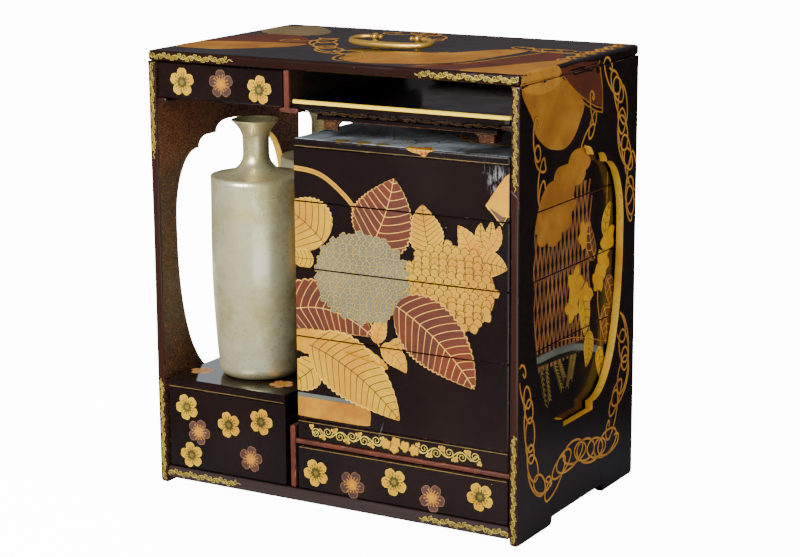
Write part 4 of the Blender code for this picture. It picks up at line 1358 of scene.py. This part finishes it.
def cloud(sheet, centre, size, bumps, finish, lift=0.06, turn=0.0, seed=1):
    # a flat oval whose edge swells in round bumps of uneven size
    chance = np.random.default_rng(seed)
    angle = np.linspace(0, 2 * np.pi, 160, endpoint=False)
    phase = chance.uniform(0, 6)
    wave = np.abs(np.sin(bumps * angle / 2 + 0.5 * np.sin(2 * angle + phase)))
    radius = 1 - 0.2 * (1 - wave ** 0.7)
    x, y = size[0] * radius * np.cos(angle), size[1] * radius * np.sin(angle)
    patch(sheet, np.stack(turnedAbout(centre, x, y, turn), axis=1), finish, lift=lift)


# Plum blossoms on the drawers and the low box
blossomKinds = {
    "gold": ("gold", "paleGold", "olive", "dullGold"),
    "brown": ("petalBrown", "petalRim", "cord", "orangeGold"),
    "orange": ("roseGold", "cord", "deepGold", "cord"),
}
blossomFronts = {
    "upper_drawer": [(-121.1, 303.3, "gold"), (-87.3, 304.0, "brown"), (-55.1, 301.8, "gold")],
    "low_box": [(-125.2, 61.2, "gold"), (-115.0, 43.4, "brown"), (-87.9, 52.8, "gold"),
                (-59.6, 59.2, "gold"), (-122.1, 24.6, "gold"), (-69.1, 29.6, "brown")],
    "lower_drawer": [(-13.0, 27.8, "gold"), (17.2, 23.9, "brown"), (51.9, 31.4, "gold"),
                     (82.5, 24.6, "brown"), (120.4, 31.6, "gold")],
}
blossomBodies = {"upper_drawer": "top_drawer", "low_box": "case", "lower_drawer": "bottom_drawer"}


def blossomSheets():
    for number, (node, flowers) in enumerate(blossomFronts.items()):
        front, back = faceSheet(node, "front"), faceSheet(node, "back")
        for place, (x, z, kind) in enumerate(flowers):
            turn = 0.5 * math.sin(3.0 * place + number)
            size = 10.6 if node != "low_box" else 10.2
            odd = "orangeGold" if node == "lower_drawer" and place == 0 else None
            blossom(front, (x, z), size, *blossomKinds[kind], turn=turn, odd=odd)
            if place % 2 == 0:
                blossom(back, (-x, z), size, *blossomKinds[kind], turn=-turn)
        finishSheet(node + "Blossoms", front, blossomBodies[node])
        finishSheet(node + "BackBlossoms", back, blossomBodies[node])
    lid = faceSheet("low_box_lid", "top")
    for x, y, turn in ((-130.0, -66.0, 0.3), (-57.0, -69.0, 0.9), (-49.0, 68.0, 0.1)):
        blossom(lid, (x, y), 9.5, *blossomKinds["orange"], turn=turn)
    finishSheet("lowBoxLidBlossoms", lid)
    line = faceSheet("low_box_lid", "front")
    ribbon(line, [(-141, 76), (-90, 76), (-39.5, 76)], 0.35, "dullGold")
    finishSheet("lowBoxLidLine", line)


blossomSheets()
print("blossoms laid")


# Vine scroll on the front edges of the case
scrollEdges = {
    # the boards: name of the piece, both runs across, side of the wave
    "case_top": ("topScroll", ((-149, -75.6), (149, 70.7)), 1.0),
    "case_bottom": ("bottomScroll", ((-143, -77.5), (143, 72.9)), -1.0),
    # the panels: where the upper run ends and the lower one
    "left": (245.8, 81),
    "right": (246.8, 79.9),
    "boardWidth": 5.0,
    "boardRound": 2.2,
    "panelWidth": 4.3,
    "panelRound": 1.6,
    "panelHalf": 3.15,
    "panelMiddle": 146.85,
    "panelRun": (2.6, 316.0),
    "panelClip": (2.5, 316.9),
    "front": 95.0,
}


def edgeScroll(sheet, start, heading, reach, width, flip):
    scrollBand(sheet, start, heading, reach, width, flip, pace=1.35, ending=1.6)


def scrollSheets():
    front, width = scrollEdges["front"], scrollEdges["panelWidth"]
    foot, head = scrollEdges["panelRun"]
    for facing, mirror in (("front", 1.0), ("back", -1.0)):
        for node in ("case_top", "case_bottom"):
            name, runs, flip = scrollEdges[node]
            low, high = span(node)
            level = (low[2] + high[2]) / 2
            board = newSheet(barPlace(facing, front, level, (high[2] - low[2]) / 2,
                                      scrollEdges["boardRound"], False))
            for start, end in runs:
                edgeScroll(board, (start * mirror, level), (np.sign(end - start) * mirror, 0.0),
                           abs(end - start), scrollEdges["boardWidth"], flip * np.sign(start))
            finishSheet(name + facing.title(), board)
        for side, label in ((-1.0, "left"), (1.0, "right")):
            across = side * scrollEdges["panelMiddle"] * mirror
            bar = newSheet(barPlace(facing, front, across, scrollEdges["panelHalf"],
                                    scrollEdges["panelRound"], True))
            upper, lower = scrollEdges[label]
            edgeScroll(bar, (across, head), (0, -1), head - upper, width, side)
            edgeScroll(bar, (across, foot), (0, 1), lower - foot, width, -side)
            finishSheet("panelScroll" + facing.title() + label.title(), bar,
                        limits=[(2, *scrollEdges["panelClip"])])


scrollSheets()
print("vine scroll laid")


# Flowers, balls of florets and leaves over the front of the stack
stackFront = {
    "clipAcross": (-27.2, 141.8),
    "clipDepth": (-91.6, 91.6),
    "clipUp": (68.6, 264.3),
    "joints": (66.55, 128.15, 178.15, 225.85, 264.2),
    "jointGap": 0.55,
}
stackLeaves = [
    # base, tip, width, finish, lift, bend, scallops
    ((-3.3, 197.8), (-37, 221), 44, "goldLeaf", 0.06, -0.05, 15),
    ((82.5, 198), (76, 232.5), 28, "smallGoldLeaf", 0.06, 0.04, 11),
    ((115, 194), (103, 220.5), 17, "budLeaf", 0.06, -0.08, 8),
    ((116, 196.5), (141, 194), 19, "smallGoldLeaf", 0.06, 0.05, 0),
    ((123.6, 206), (121, 224.2), 9.5, "smallGoldLeaf", 0.07, 0.1, 5),
    ((124.6, 205), (129, 226.6), 9, "smallGoldLeaf", 0.12, -0.04, 5),
    ((125, 205), (134.6, 223.6), 9.5, "budLeaf", 0.17, -0.12, 5),
    ((33, 196), (53.5, 248.5), 50, "redLeaf", 0.1, -0.05, 19),
    ((-46, 140), (36, 134.5), 42, "redLeaf", 0.1, 0.16, 19),
    ((-9.6, 110), (-36, 91), 25, "goldLeaf", 0.08, 0.05, 9),
    ((-12, 185.5), (-32, 186.4), 14, "smallGoldLeaf", 0.1, 0.05, 0),
    ((38.9, 130.5), (47.5, 149.5), 13, "budLeaf", 0.14, 0.1, 6),
    ((49, 130), (63, 137.5), 9, "smallGoldLeaf", 0.14, -0.1, 0),
    ((42, 127.6), (62.5, 112), 16, "budLeaf", 0.16, 0.12, 7),
    ((-17, 123), (57, 77), 46, "goldLeaf", 0.46, 0.07, 18),
    ((55, 159.5), (116.5, 108), 48, "redLeaf", 0.98, 0.06, 21),
]


def finishStack(name, sheet, limits, thickness=0.5):
    # a picture over the whole stack is cut at the joints of its tiers
    gap = stackFront["jointGap"]
    bands = [(2, joint - gap, joint + gap) for joint in stackFront["joints"]]
    finishSheet(name, sheet, joints=bands,
                limits=[limits, (2, *stackFront["clipUp"])], thickness=thickness)


def stackFrontSheet():
    front = faceSheet("tier_2", "front")
    arch = smoothPath([(-30, 249.3), (-15.6, 248.3), (-4.3, 245.4), (6.8, 238.6), (18.7, 228.4),
                       (26, 218)])
    ribbon(front, arch, 3.3, "gold", lift=0.06)
    ribbon(front, arch, 0.35, "darkLine", lift=0.13, crown=0.01)
    stem(front, [(17, 176), (24, 190), (35, 199)], 1.6)
    stem(front, [(97, 180), (112, 190), (119, 198), (124, 207)], 1.5)
    stem(front, [(33, 146), (38, 138), (40, 130), (44, 126)], 1.4)
    stem(front, [(133, 226), (134.5, 233), (136, 238)], 0.8)
    for look in stackLeaves[:-1]:
        leaf(front, *look)
    # a rounded and notched edge between the red leaf and the large gold one
    fringe = np.array([(-28.5, 131), (-10, 134), (10, 132.5), (28, 127), (44, 118),
                       (46, 112), (20, 112), (-4, 114), (-28.5, 118)])
    outline = smoothLoop(fringe, 18)
    ripple = 0.9 * np.abs(np.sin(np.arange(len(outline)) * 0.55))
    outline = outline + np.stack([0 * ripple, ripple], axis=1)
    patch(front, outline, "gold", lift=0.3, dome=0.06)
    floretBall(front, (97, 176), (34.5, 30.5), 3.4, 4.3, "goldFloret", 0.15, 5)
    floretBall(front, (27.3, 175.7), (36.5, 31.5), 2.75, 3.5, "silverFloret", 0.2, 9, notch=0.34,
               dot="gold")
    leaf(front, *stackLeaves[-1])
    # folded gold paper at the right edge
    patch(front, [(141.9, 259), (139, 257), (131.5, 247), (124.4, 236.5), (126, 233.6),
                  (136.5, 229.5), (141.9, 229.5)], "gold", lift=0.08, centre=(137.5, 239))
    patch(front, [(127, 235.2), (139.5, 228.3), (136.5, 224), (133, 226)], "plumBrown",
          lift=0.14)
    ribbon(front, [(124.4, 236.5), (137, 223.6), (141, 231)], 0.7, "paleGold", lift=0.17)
    # a low gold table with a grey edge behind the leaves
    patch(front, smoothLoop([(-25.5, 69.3), (2, 68.9), (29.5, 69.2), (33, 72.5), (33.2, 80.5),
                             (31, 83.2), (2, 83.4), (-27.4, 83.4), (-28, 76),
                             (-27.6, 71)], 6), "tableGold")
    patch(front, [(-28, 83.6), (31, 83.6), (33, 86.6), (-28, 86.6)], "blueGrey", lift=0.07)
    finishStack("stackFrontPicture", front, (0, *stackFront["clipAcross"]), 1.6)


stackFrontSheet()


def stackTrims():
    base = faceSheet("stack_base", "front")
    scrollBand(base, (44, 58.8), (-1, 0), 60.0, 9.6, fill="orangeGold", pace=1.05, ending=0.9)
    scrollBand(base, (70, 58.8), (1, 0), 51.0, 9.6, -1.0, fill="orangeGold", pace=1.05,
               ending=0.9)
    for number, (x, z, size) in enumerate(((45.6, 58.6, 4.6), (53.6, 60.6, 4.8), (52.4, 56.2, 4.4),
                                           (61.2, 58.8, 4.8), (68.4, 57.2, 4.8))):
        disc(base, (x, z), lobed(size, 5, 0.28, 40), "goldFloret", lift=0.1 + 0.06 * number,
             dome=0.1, turn=x)
    ribbon(base, [(-26.8, 65.2), (57, 65.2), (141.4, 65.2)], 0.4, "dullGold")
    finishSheet("stackBaseScroll", base)
    low, high = span("stack_lid")
    rim = newSheet(foldPlace(-low[1], high[2] - 1.5, 1.5))
    ribbon(rim, [(-26.6, 265), (57, 265), (141.2, 265)], 0.35, "dullGold")
    leaf(rim, (72, 277), (77.5, 264.8), 13.5, "emberLeaf", 0.06, 0.08, 5)
    leaf(rim, (62, 272.5), (86, 271), 7.5, "smallGoldLeaf", 0.1, -0.05, 5)
    for x, width in ((4, 11), (21, 12), (36, 9)):
        leaf(rim, (x, 273.0), (x + 12.0, 271.0), width, "dullGold", 0.06, 0.2, 4)
    finishSheet("stackLidRim", rim, limits=[(2, 264.5, 271.0)])
    top = faceSheet("stack_lid", "top")
    stem(top, [(40, -56), (52, -72), (66, -83)], 1.1, "dullGold")
    loopCord(top, [(60, -10), (90, -45), (128, -50)], 7.0, 18.0, 1.5)
    finishSheet("stackLidPicture", top, limits=[(1, -91.8, 91.8)])
    line = faceSheet("lower_drawer", "front")
    ribbon(line, [(-27, 45.4), (57, 45.4), (140.8, 45.4)], 0.45, "dullGold")
    finishSheet("lowerDrawerLine", line, "bottom_drawer")
    # the slope under the tray's rim leans out as it climbs, so its pictures look down
    climb, outward = np.array([(0.0, -9.0, 5.6), (0.0, -5.6, -9.0)]) / 10.6

    def underRim(a, b, height):
        climbed = np.array([0.0, -84.3, 285.4]) + b[..., None] * climb
        return climbed + a[..., None] * (1, 0, 0) + height[..., None] * outward
    faint = newSheet(underRim)
    for start, heading, reach in ((54.0, -1.0, 76.0), (58.0, 1.0, 78.0)):
        scrollBand(faint, (start, 5.2), (heading, 0.0), reach, 7.5, line="faint", fill="darkLine")
    finishSheet("trayScroll", faint, "tray")


stackTrims()
print("stack front laid")


# Right side of the stack, seen through the opening
def needleSprig(sheet, top, tip, needles, reach):
    top, tip = np.asarray(top, float), np.asarray(tip, float)
    way = (tip - top) / np.linalg.norm(tip - top)
    side = np.array([-way[1], way[0]])
    length = np.linalg.norm(tip - top)
    ribbon(sheet, top + np.outer(np.linspace(0, length, 12), way), 0.7, "dullGold")
    for number in range(needles):
        place = top + way * length * (number + 0.5) / needles
        for turn in (-1, 1):
            end = place + way * reach * 0.8 + side * turn * reach * 0.6
            ribbon(sheet, place + np.outer(np.linspace(0, 1, 4), end - place),
                   np.linspace(1.5, 0.5, 4), "dullGold", lift=0.08)


def orchid(sheet, centre, size, turn):
    for number, (angle, length) in enumerate(((0, 1), (1.25, 0.95), (2.5, 0.8), (3.75, 0.8),
                                              (5, 0.95))):
        way = np.array([math.cos(turn + angle), math.sin(turn + angle)])
        leaf(sheet, np.asarray(centre) + way, np.asarray(centre) + way * size * length, size * 0.82,
             "petalGold", 0.12 + 0.03 * number, 0.08, 0)
    disc(sheet, centre, np.full(14, 0.16 * size), "orangeGold", lift=0.38, rings=1)


netField = {
    "across": (-62, 34),
    "up": (112, 236),
    "pitch": 6.4,
    "lean": 11.0,
}


sideFigures = {
    # middle, size, bumps, lift, turn, seed
    "clouds": [((-26, 222), (34, 24), 9, 0.24, 0.25, 3), ((4, 250), (27, 17), 8, 0.28, 0.1, 4),
               ((-34, 246), (24, 12), 8, 0.2, 0.3, 6)],
    # y, z, size, turn
    "orchids": [(22, 196, 13, 0.6), (62, 186, 14, 1.9), (54, 170, 14, 3.4), (8, 163, 15, 1.2),
                (4, 148, 13, 3.0), (24, 150, 15, 5.0), (46, 160, 13, 0.2)],
    # base, tip, width, finish
    "leaves": [((20, 150), (24, 122), 17, "goldLeaf"), ((30, 124), (27, 98), 16, "smallGoldLeaf"),
               ((56, 138), (60, 108), 18, "redLeaf"), ((60, 158), (70, 132), 15, "redLeaf"),
               ((46, 108), (52, 82), 13, "goldLeaf"), ((40, 176), (30, 206), 14, "redLeaf"),
               ((56, 190), (66, 214), 12, "goldLeaf")],
    # top, tip
    "sprigs": [((-46, 118), (-36, 80)), ((-38, 118), (-31, 88)), ((-27, 118), (-12, 92)),
               ((-20, 118), (-8, 99)), ((4, 116), (-3, 92)), ((10, 115), (3, 96))],
}


def stackSideSheet(facing, name):
    side = faceSheet("tier_2", facing)
    left, right = netField["across"]
    bottom, top = netField["up"]
    columns = int((right - left + 2 * netField["lean"]) / netField["pitch"])
    for lean, lift in ((netField["lean"], 0.05), (-netField["lean"], 0.1)):
        for number in range(columns):
            start = left - netField["lean"] + number * netField["pitch"]
            z = np.linspace(bottom, top, 40)
            y = start + lean * (z - bottom) / 50.0 - (lean > 0) * 20.0 + (lean < 0) * 12.0
            inside = (left + 0.05 * (top - z) < y) & (y < right)
            if inside.sum() > 3:
                path = np.stack([y[inside], z[inside]], axis=1)
                ribbon(side, path, 2.9, "redBrown" if lean > 0 else "plumBrown", lift=lift - 0.02)
                ribbon(side, path, 0.85, "deepGold", lift=lift + 0.03)
    patch(side, [(-56, 126), (34, 119), (34, 111), (-60, 117), (-62, 121)], "darkLine",
          lift=0.16)
    ribbon(side, [(-58, 121.5), (-20, 121), (4, 118.5), (30, 112.5), (56, 104)],
           5.0, "blueGrey", lift=0.2)
    ribbon(side, [(-58, 128.5), (-20, 128), (4, 125.5), (30, 119.5), (56, 111)],
           0.7, "deepGold", lift=0.22)
    for middle, size, bumps, lift, turn, seed in sideFigures["clouds"]:
        cloud(side, middle, size, bumps, "deepGold", lift, turn, seed)
    for y, z, size, turn in sideFigures["orchids"]:
        orchid(side, (y, z), size, turn)
    for base, tip, width, finish in sideFigures["leaves"]:
        leaf(side, base, tip, width, finish, 0.3, 0.1, 0)
    stem(side, [(50, 96), (52, 120), (46, 150), (58, 200), (60, 236)], 1.8, "deepGold")
    for top, tip in sideFigures["sprigs"]:
        needleSprig(side, top, tip, 9, 4.6)
    finishStack(name, side, (1, *stackFront["clipDepth"]))


plainLeaves = [
    # base, tip, width, finish
    ((-18, 132), (-56, 158), 34, "goldLeaf"),
    ((-10, 142), (34, 118), 34, "redLeaf"),
    ((4, 168), (-34, 206), 30, "redLeaf"),
    ((8, 190), (40, 226), 26, "smallGoldLeaf"),
    ((-32, 104), (4, 84), 22, "smallGoldLeaf"),
]


def stackPlainSheet(facing, name, across, *limits):
    # a spray of leaves and a ball of florets, for the sides that are seen less
    sheet = faceSheet("tier_2", facing)
    stem(sheet, [(across - 40.0, 92.0), (across - 20.0, 130.0), (across + 6.0, 170.0),
                 (across + 10.0, 214.0)], 2.2, "deepGold")
    for base, tip, width, finish in plainLeaves:
        leaf(sheet, (across + base[0], base[1]), (across + tip[0], tip[1]), width, finish, 0.08,
             0.08, 14)
    floretBall(sheet, (across + 22.0, 172.0), (24, 21), 3.4, 4.3, "goldFloret", 0.2, 12)
    finishStack(name, sheet, limits, 0.9)


stackSideSheet("right", "stackRightPicture")
stackPlainSheet("left", "stackLeftPicture", 0.0, 1, *stackFront["clipDepth"])
stackPlainSheet("back", "stackBackPicture", -57.0, 0, *stackFront["clipAcross"])
print("stack side laid")


# Case: figures carried over the right side, the top and the left side
caseSkin = {
    "radius": 2.2,
    "knee": 322.8,
    "halfFlat": 147.8,
    # the joint between the top board and the panels, and the board's lower rounding over it
    "joint": (316.8, 317.4),
    "underLow": 317.15,
    "underHigh": 319.5,
    "edges": (-92.7, 92.7),
}


def caseWrap(a, b, height):
    # a runs from front to back; b climbs the right side, crosses the top and goes down the left
    radius, knee, flat = caseSkin["radius"], caseSkin["knee"], 2 * caseSkin["halfFlat"]
    arc = radius * math.pi / 2
    beyond = b - knee
    first = np.clip(beyond / radius, 0.0, math.pi / 2)
    crossed = np.clip(beyond - arc, 0.0, flat)
    second = np.clip((beyond - arc - flat) / radius, 0.0, math.pi / 2)
    down = np.maximum(beyond - 2 * arc - flat, 0.0)
    out = radius + height
    x = flat / 2 + out * np.cos(first) - crossed - out * np.sin(second)
    z = np.minimum(b, knee) + out * np.sin(first) - out * (1 - np.cos(second)) - down
    under = np.clip(caseSkin["underHigh"] - z, 0.0, radius) * (z > caseSkin["underLow"])
    x -= np.sign(x) * (radius - np.sqrt(radius ** 2 - under ** 2)) * (np.abs(x) > 147.0)
    return np.stack([x, a, z], axis=-1)


def onTop(points):
    # from x and y on the top to the wrapped pair
    points = np.asarray(points, float)
    middle = caseSkin["knee"] + caseSkin["radius"] * math.pi / 2 + caseSkin["halfFlat"]
    return np.stack([points[:, 1], middle - points[:, 0]], axis=1)


def onLeft(points):
    # from y and z on the left side to the wrapped pair
    points = np.asarray(points, float)
    foot = 2 * caseSkin["knee"] + caseSkin["radius"] * math.pi + 2 * caseSkin["halfFlat"]
    return np.stack([points[:, 0], foot - points[:, 1]], axis=1)


caseCords = {
    # path, loop, spacing; on the right side, as y and z
    "side": [
        ([(-70, 290), (-68, 267), (-61, 256), (-64, 232)], 5.5, 26),
        ([(16, 297), (19.5, 283), (12.7, 271), (3, 262)], 5, 20),
        ([(44, 314), (58, 297), (66, 285), (66.8, 268), (74, 250), (85, 232), (82, 218),
          (86, 200)], 8, 19),
        ([(-88, 122), (-80, 96), (-77, 72.6), (-74, 53.7), (-62, 36), (-45, 33)], 7, 24),
        ([(-45, 30), (-28.5, 40), (-7, 44), (14.8, 40), (40, 36), (62, 38)], 8.5, 20),
        ([(52, 48), (62, 66), (74, 78), (78, 96), (72, 116), (64, 128)], 8, 21),
    ],
    # on the top, as x and y
    "top": [
        ([(-88, 2), (-68, 16), (-58, -4), (-30, -38), (-6, -48), (4, -78)], 9, 26),
        ([(-42, 74), (-20, 80), (-4, 66), (10, 44)], 8, 22),
        ([(90, 34), (112, 30), (134, 32)], 9, 20),
    ],
    # path and loop on the left side, as y and z
    "left": [
        ([(60, 300), (78, 270), (80, 236)], 7),
        ([(-84, 120), (-78, 80), (-62, 44), (-10, 40)], 7.5),
        ([(10, 42), (56, 44), (78, 84), (82, 118)], 7.5),
    ],
}
caseFigures = {
    # points, steps of the curve or none, finish, lift and sometimes a middle;
    # on the right side, as y and z, a gold shell hanging from the front corner and a brown fan
    "right": [
        ([(-92.5, 326.5), (-91.5, 312), (-84, 302), (-76, 293), (-71, 282), (-58, 273),
          (-44.9, 268.4), (-28, 266.6), (-15, 271), (-4, 281), (3, 293.4), (-12, 305),
          (-34, 316), (-60, 323)], 6, "deepGold", 0.08),
        ([(-92.5, 328), (-92, 315), (-70, 309), (-50, 309), (-33, 314), (-34, 321), (-44, 327),
          (-70, 329)], 6, "cord", 0.14),
        ([(-38, 322), (-20, 310), (2, 298), (20, 291), (32, 288), (31.5, 300), (30, 310),
          (25.6, 320.5), (-4, 323)], 0, "redBrown", 0.1),
    ],
    # on the top, as x and y, broad bands of another shell across the front right, the first one
    # with a painted reflection of the brass bail over its front, then a shell and red-brown bands
    # at the back left and a gold band from the left front edge
    "top": [
        # this band's front carries a painted reflection of the brass bail
        ([(12, -84), (-6, -52), (14, -24), (50, -14), (74, 18), (96, 24), (92, -18), (80, -58),
          (52, -78)], 7, "deepGold", 0.08),
        ([(60, -90), (92, -60), (104, -20), (118, 22), (136, -2), (140, -50), (134, -84),
          (100, -91)], 7, "redBrown", 0.12),
        ([(104, -92), (118, -60), (132, -30), (146, -10), (148, -50), (147, -92)], 7,
         "deepGold", 0.2),
        ([(-142.7, 42), (-143.7, 72.3), (-120, 85), (-94.6, 65.8), (-86.3, 43.6), (-98.4, 29),
          (-117.2, 24.8)], 7, "haze", 0.08),
        ([(-146, -30), (-137, 14), (-127.2, 26.8), (-107.4, 29.6), (-86.1, 18), (-68.3, -10),
          (-67, -18), (-98, -20)], 7, "redBrown", 0.1),
        ([(-146.4, -40.3), (-133.8, -27.5), (-116.2, -22), (-97.9, -17.8), (-78.9, -14.8),
          (-65, -14.5), (-68.7, -30.6), (-80.4, -44.4), (-93.6, -55.7), (-107.5, -65.8),
          (-127.1, -68.5), (-145.5, -65)], 4, "deepGold", 0.14, (-42, 584)),
    ],
    # on the left side, as y and z, a shell
    "left": [
        ([(-60, 300), (-30, 316), (8, 312), (26, 298), (4, 276), (-26, 270), (-52, 282)], 7,
         "deepGold", 0.08),
    ],
}


def casePatches(wrap, face, place):
    for points, steps, finish, lift, *middle in caseFigures[face]:
        outline = smoothLoop(points, steps) if steps else points
        patch(wrap, place(outline), finish, lift=lift, centre=middle[0] if middle else None)


def casePicture():
    wrap = newSheet(caseWrap)
    casePatches(wrap, "right", np.array)
    # the fan's double gold rim
    rim = smoothPath([(-36, 317), (-18, 305), (4, 293.5), (20, 286.8), (33, 283.5)])
    ribbon(wrap, rim, 1.1, "deepGold", lift=0.18)
    ribbon(wrap, rim + (0.4, 3), 1.0, "deepGold", lift=0.18)
    ribbon(wrap, smoothPath([(33, 283.5), (32.4, 300), (27, 321)]), 1.0, "deepGold", lift=0.18)
    for path, loop, spacing in caseCords["side"]:
        loopCord(wrap, path, 1.2 * loop, 0.6 * spacing, 1.5)
    for path, loop, spacing in caseCords["top"]:
        loopCord(wrap, onTop(path), 1.2 * loop, 0.66 * spacing, 1.6)
    # the bands on the top, one edged and one rayed with gold
    casePatches(wrap, "top", onTop)
    edge = smoothPath([(66, -86), (90, -56), (102, -16), (112, 24)])
    ribbon(wrap, onTop(edge), 1.2, "cord", lift=0.2)
    for number in range(4):
        ray = (np.array([(14, -78), (14, -44), (34, -18)])
               + number * np.array([(13, 4), (15, 5), (16, 8)]))
        ribbon(wrap, onTop(smoothPath(ray)), 0.9, "cord", lift=0.16)
    # scalloped gold edge along the right of the top
    y = np.linspace(-34.0, 92.0, 190)
    scallop = 7.0 * np.abs(np.sin(np.pi * (y + 34.0) / 15.5))
    path = onTop(np.stack([142.0 - scallop * 0.8, y], axis=1))
    ribbon(wrap, path, 2.2, "cord", lift=0.12)
    ribbon(wrap, path + (0, -4.6), 1.5, "deepGold", lift=0.12)
    casePatches(wrap, "left", onLeft)
    for path, loop in caseCords["left"]:
        loopCord(wrap, onLeft(path), loop, 17.6, 2.0)
    finishSheet("casePicture", wrap, joints=[(2, *caseSkin["joint"])],
                limits=[(1, *caseSkin["edges"])], thickness=0.4, hidden=inOpening)


casePicture()
print("case figures laid")


# Light: a dim room in reflections, a pale floor for the eye, soft lamps
lightLook = {
    "backdrop": (26.0, 26.0, 26.0, 1.0),
    "behind": (0.13, 0.12, 0.13, 1.0),
    "roomUpper": (0.05, 0.055, 0.07, 1.0),
    "roomLower": (0.012, 0.011, 0.011, 1.0),
    "fill": (0.6, 0.6, 0.62, 1.0),
    "floorSize": 9000.0,
    "floorLevel": -0.4,
    "floorGlow": 13.0,
    "floorDim": (0.015, 0.015, 0.017, 1.0),
    "floorNear": (0.09, 0.105, 0.125, 1.0),
    "nearReach": (0.36, 0.2),
    "aim": (0.0, 0.0, 160.0),
    "cardTone": (0.86, 0.93, 1.0, 1.0),
    "lamps": {
        "key": {"place": (-250.0, -2250.0, 1250.0), "size": (1300, 1100), "power": 92.0,
                "glossy": True},
        "left": {"place": (-1500.0, -1700.0, 1100.0), "size": (1300, 1100), "power": 26.0,
                 "glossy": False},
        "side": {"place": (1900.0, -300.0, 900.0), "size": (1100, 900), "power": 7.0,
                 "glossy": False},
        "top": {"place": (100.0, 500.0, 2100.0), "size": (1700, 1200), "power": 16.0,
                "glossy": False},
    },
    # pale cards that only reflections see
    "cards": {
        "pewterCard": {"corners": ((61.0, -472.0, -20.0), (287.0, -290.0, -20.0),
                                   (287.0, -290.0, 330.0), (61.0, -472.0, 330.0)), "glow": 1.5},
        "bottleCard": {"corners": ((-190.0, -60.0, 84.0), (-190.0, 60.0, 84.0),
                                   (-190.0, 60.0, 150.0), (-190.0, -60.0, 150.0)), "glow": 1.2},
    },
}


def makeWorld():
    # the eye sees plain white, reflections see a dim room, everything else is filled softly
    world = bpy.data.worlds.new("studio")
    world.use_nodes = True
    tree = world.node_tree
    background = tree.nodes["Background"]
    way = axesOf(tree, put(tree, "TexCoord").outputs["Generated"])
    room = mixed(tree, rise(tree, way[2], -0.15, 0.5), lightLook["roomLower"],
                 lightLook["roomUpper"])
    behind = times(tree, rise(tree, way[1], 0.3, 0.8), rise(tree, way[2], 0.02, 0.16))
    room = mixed(tree, behind, room, lightLook["behind"])
    path = put(tree, "LightPath").outputs
    seen = mixed(tree, path["Is Glossy Ray"], lightLook["fill"], room)
    seen = mixed(tree, path["Is Camera Ray"], seen, lightLook["backdrop"])
    tree.links.new(seen, background.inputs["Color"])
    background.inputs["Strength"].default_value = 1.0
    bpy.context.scene.world = world


def makeFloor():
    # pale to the eye, dim in reflections except close to the feet
    half = lightLook["floorSize"] / 2
    across = np.linspace(-half, half, 13)
    x, y = np.meshgrid(across, across, indexing="ij")
    points = np.stack([x, y, np.full_like(x, lightLook["floorLevel"])], axis=-1).reshape(-1, 3)
    index = np.arange(len(points)).reshape(x.shape)
    faces = np.stack([index[:-1, :-1], index[1:, :-1], index[1:, 1:], index[:-1, 1:]],
                     axis=-1).reshape(-1, 4)
    material, tree, shader = newMaterial("paleFloor", 0.9)
    near = rise(tree, reachOf(tree, objectPoint(tree)), *lightLook["nearReach"])
    dim = mixed(tree, near, lightLook["floorDim"], lightLook["floorNear"])
    path = put(tree, "LightPath").outputs
    tree.links.new(mixed(tree, path["Is Glossy Ray"], tone(246, 246, 246), dim),
                   shader.inputs["Base Color"])
    glow = mixed(tree, path["Is Camera Ray"], (0.0, 0.0, 0.0, 1.0), (1.0, 1.0, 1.0, 1.0))
    tree.links.new(glow, shader.inputs["Emission Color"])
    shader.inputs["Emission Strength"].default_value = lightLook["floorGlow"]
    floor = newPiece("floor", points, faces, [material])


def makeLamps():
    for name, look in lightLook["lamps"].items():
        data = bpy.data.lights.new(name, "AREA")
        data.shape = "RECTANGLE"
        data.size, data.size_y = (x * mm for x in look["size"])
        data.energy = look["power"]
        lamp = bpy.data.objects.new(name, data)
        place = Vector(look["place"])
        aim = Vector(lightLook["aim"]) - place
        lamp.matrix_world = Matrix.LocRotScale(place * mm, aim.to_track_quat("-Z", "Y"), None)
        lamp.visible_glossy = look["glossy"]
        lamp.visible_camera = False
        bpy.context.scene.collection.objects.link(lamp)


def makeCards():
    for name, look in lightLook["cards"].items():
        material, tree, shader = newMaterial(name, 0.9)
        shader.inputs["Base Color"].default_value = (0.0, 0.0, 0.0, 1.0)
        shader.inputs["Emission Color"].default_value = lightLook["cardTone"]
        shader.inputs["Emission Strength"].default_value = look["glow"]
        card = newPiece(name, np.array(look["corners"]), np.array([[0, 1, 2, 3]]), [material])
        card.visible_camera = card.visible_diffuse = card.visible_shadow = False


makeWorld()
makeFloor()
makeLamps()
makeCards()
print("studio lit")
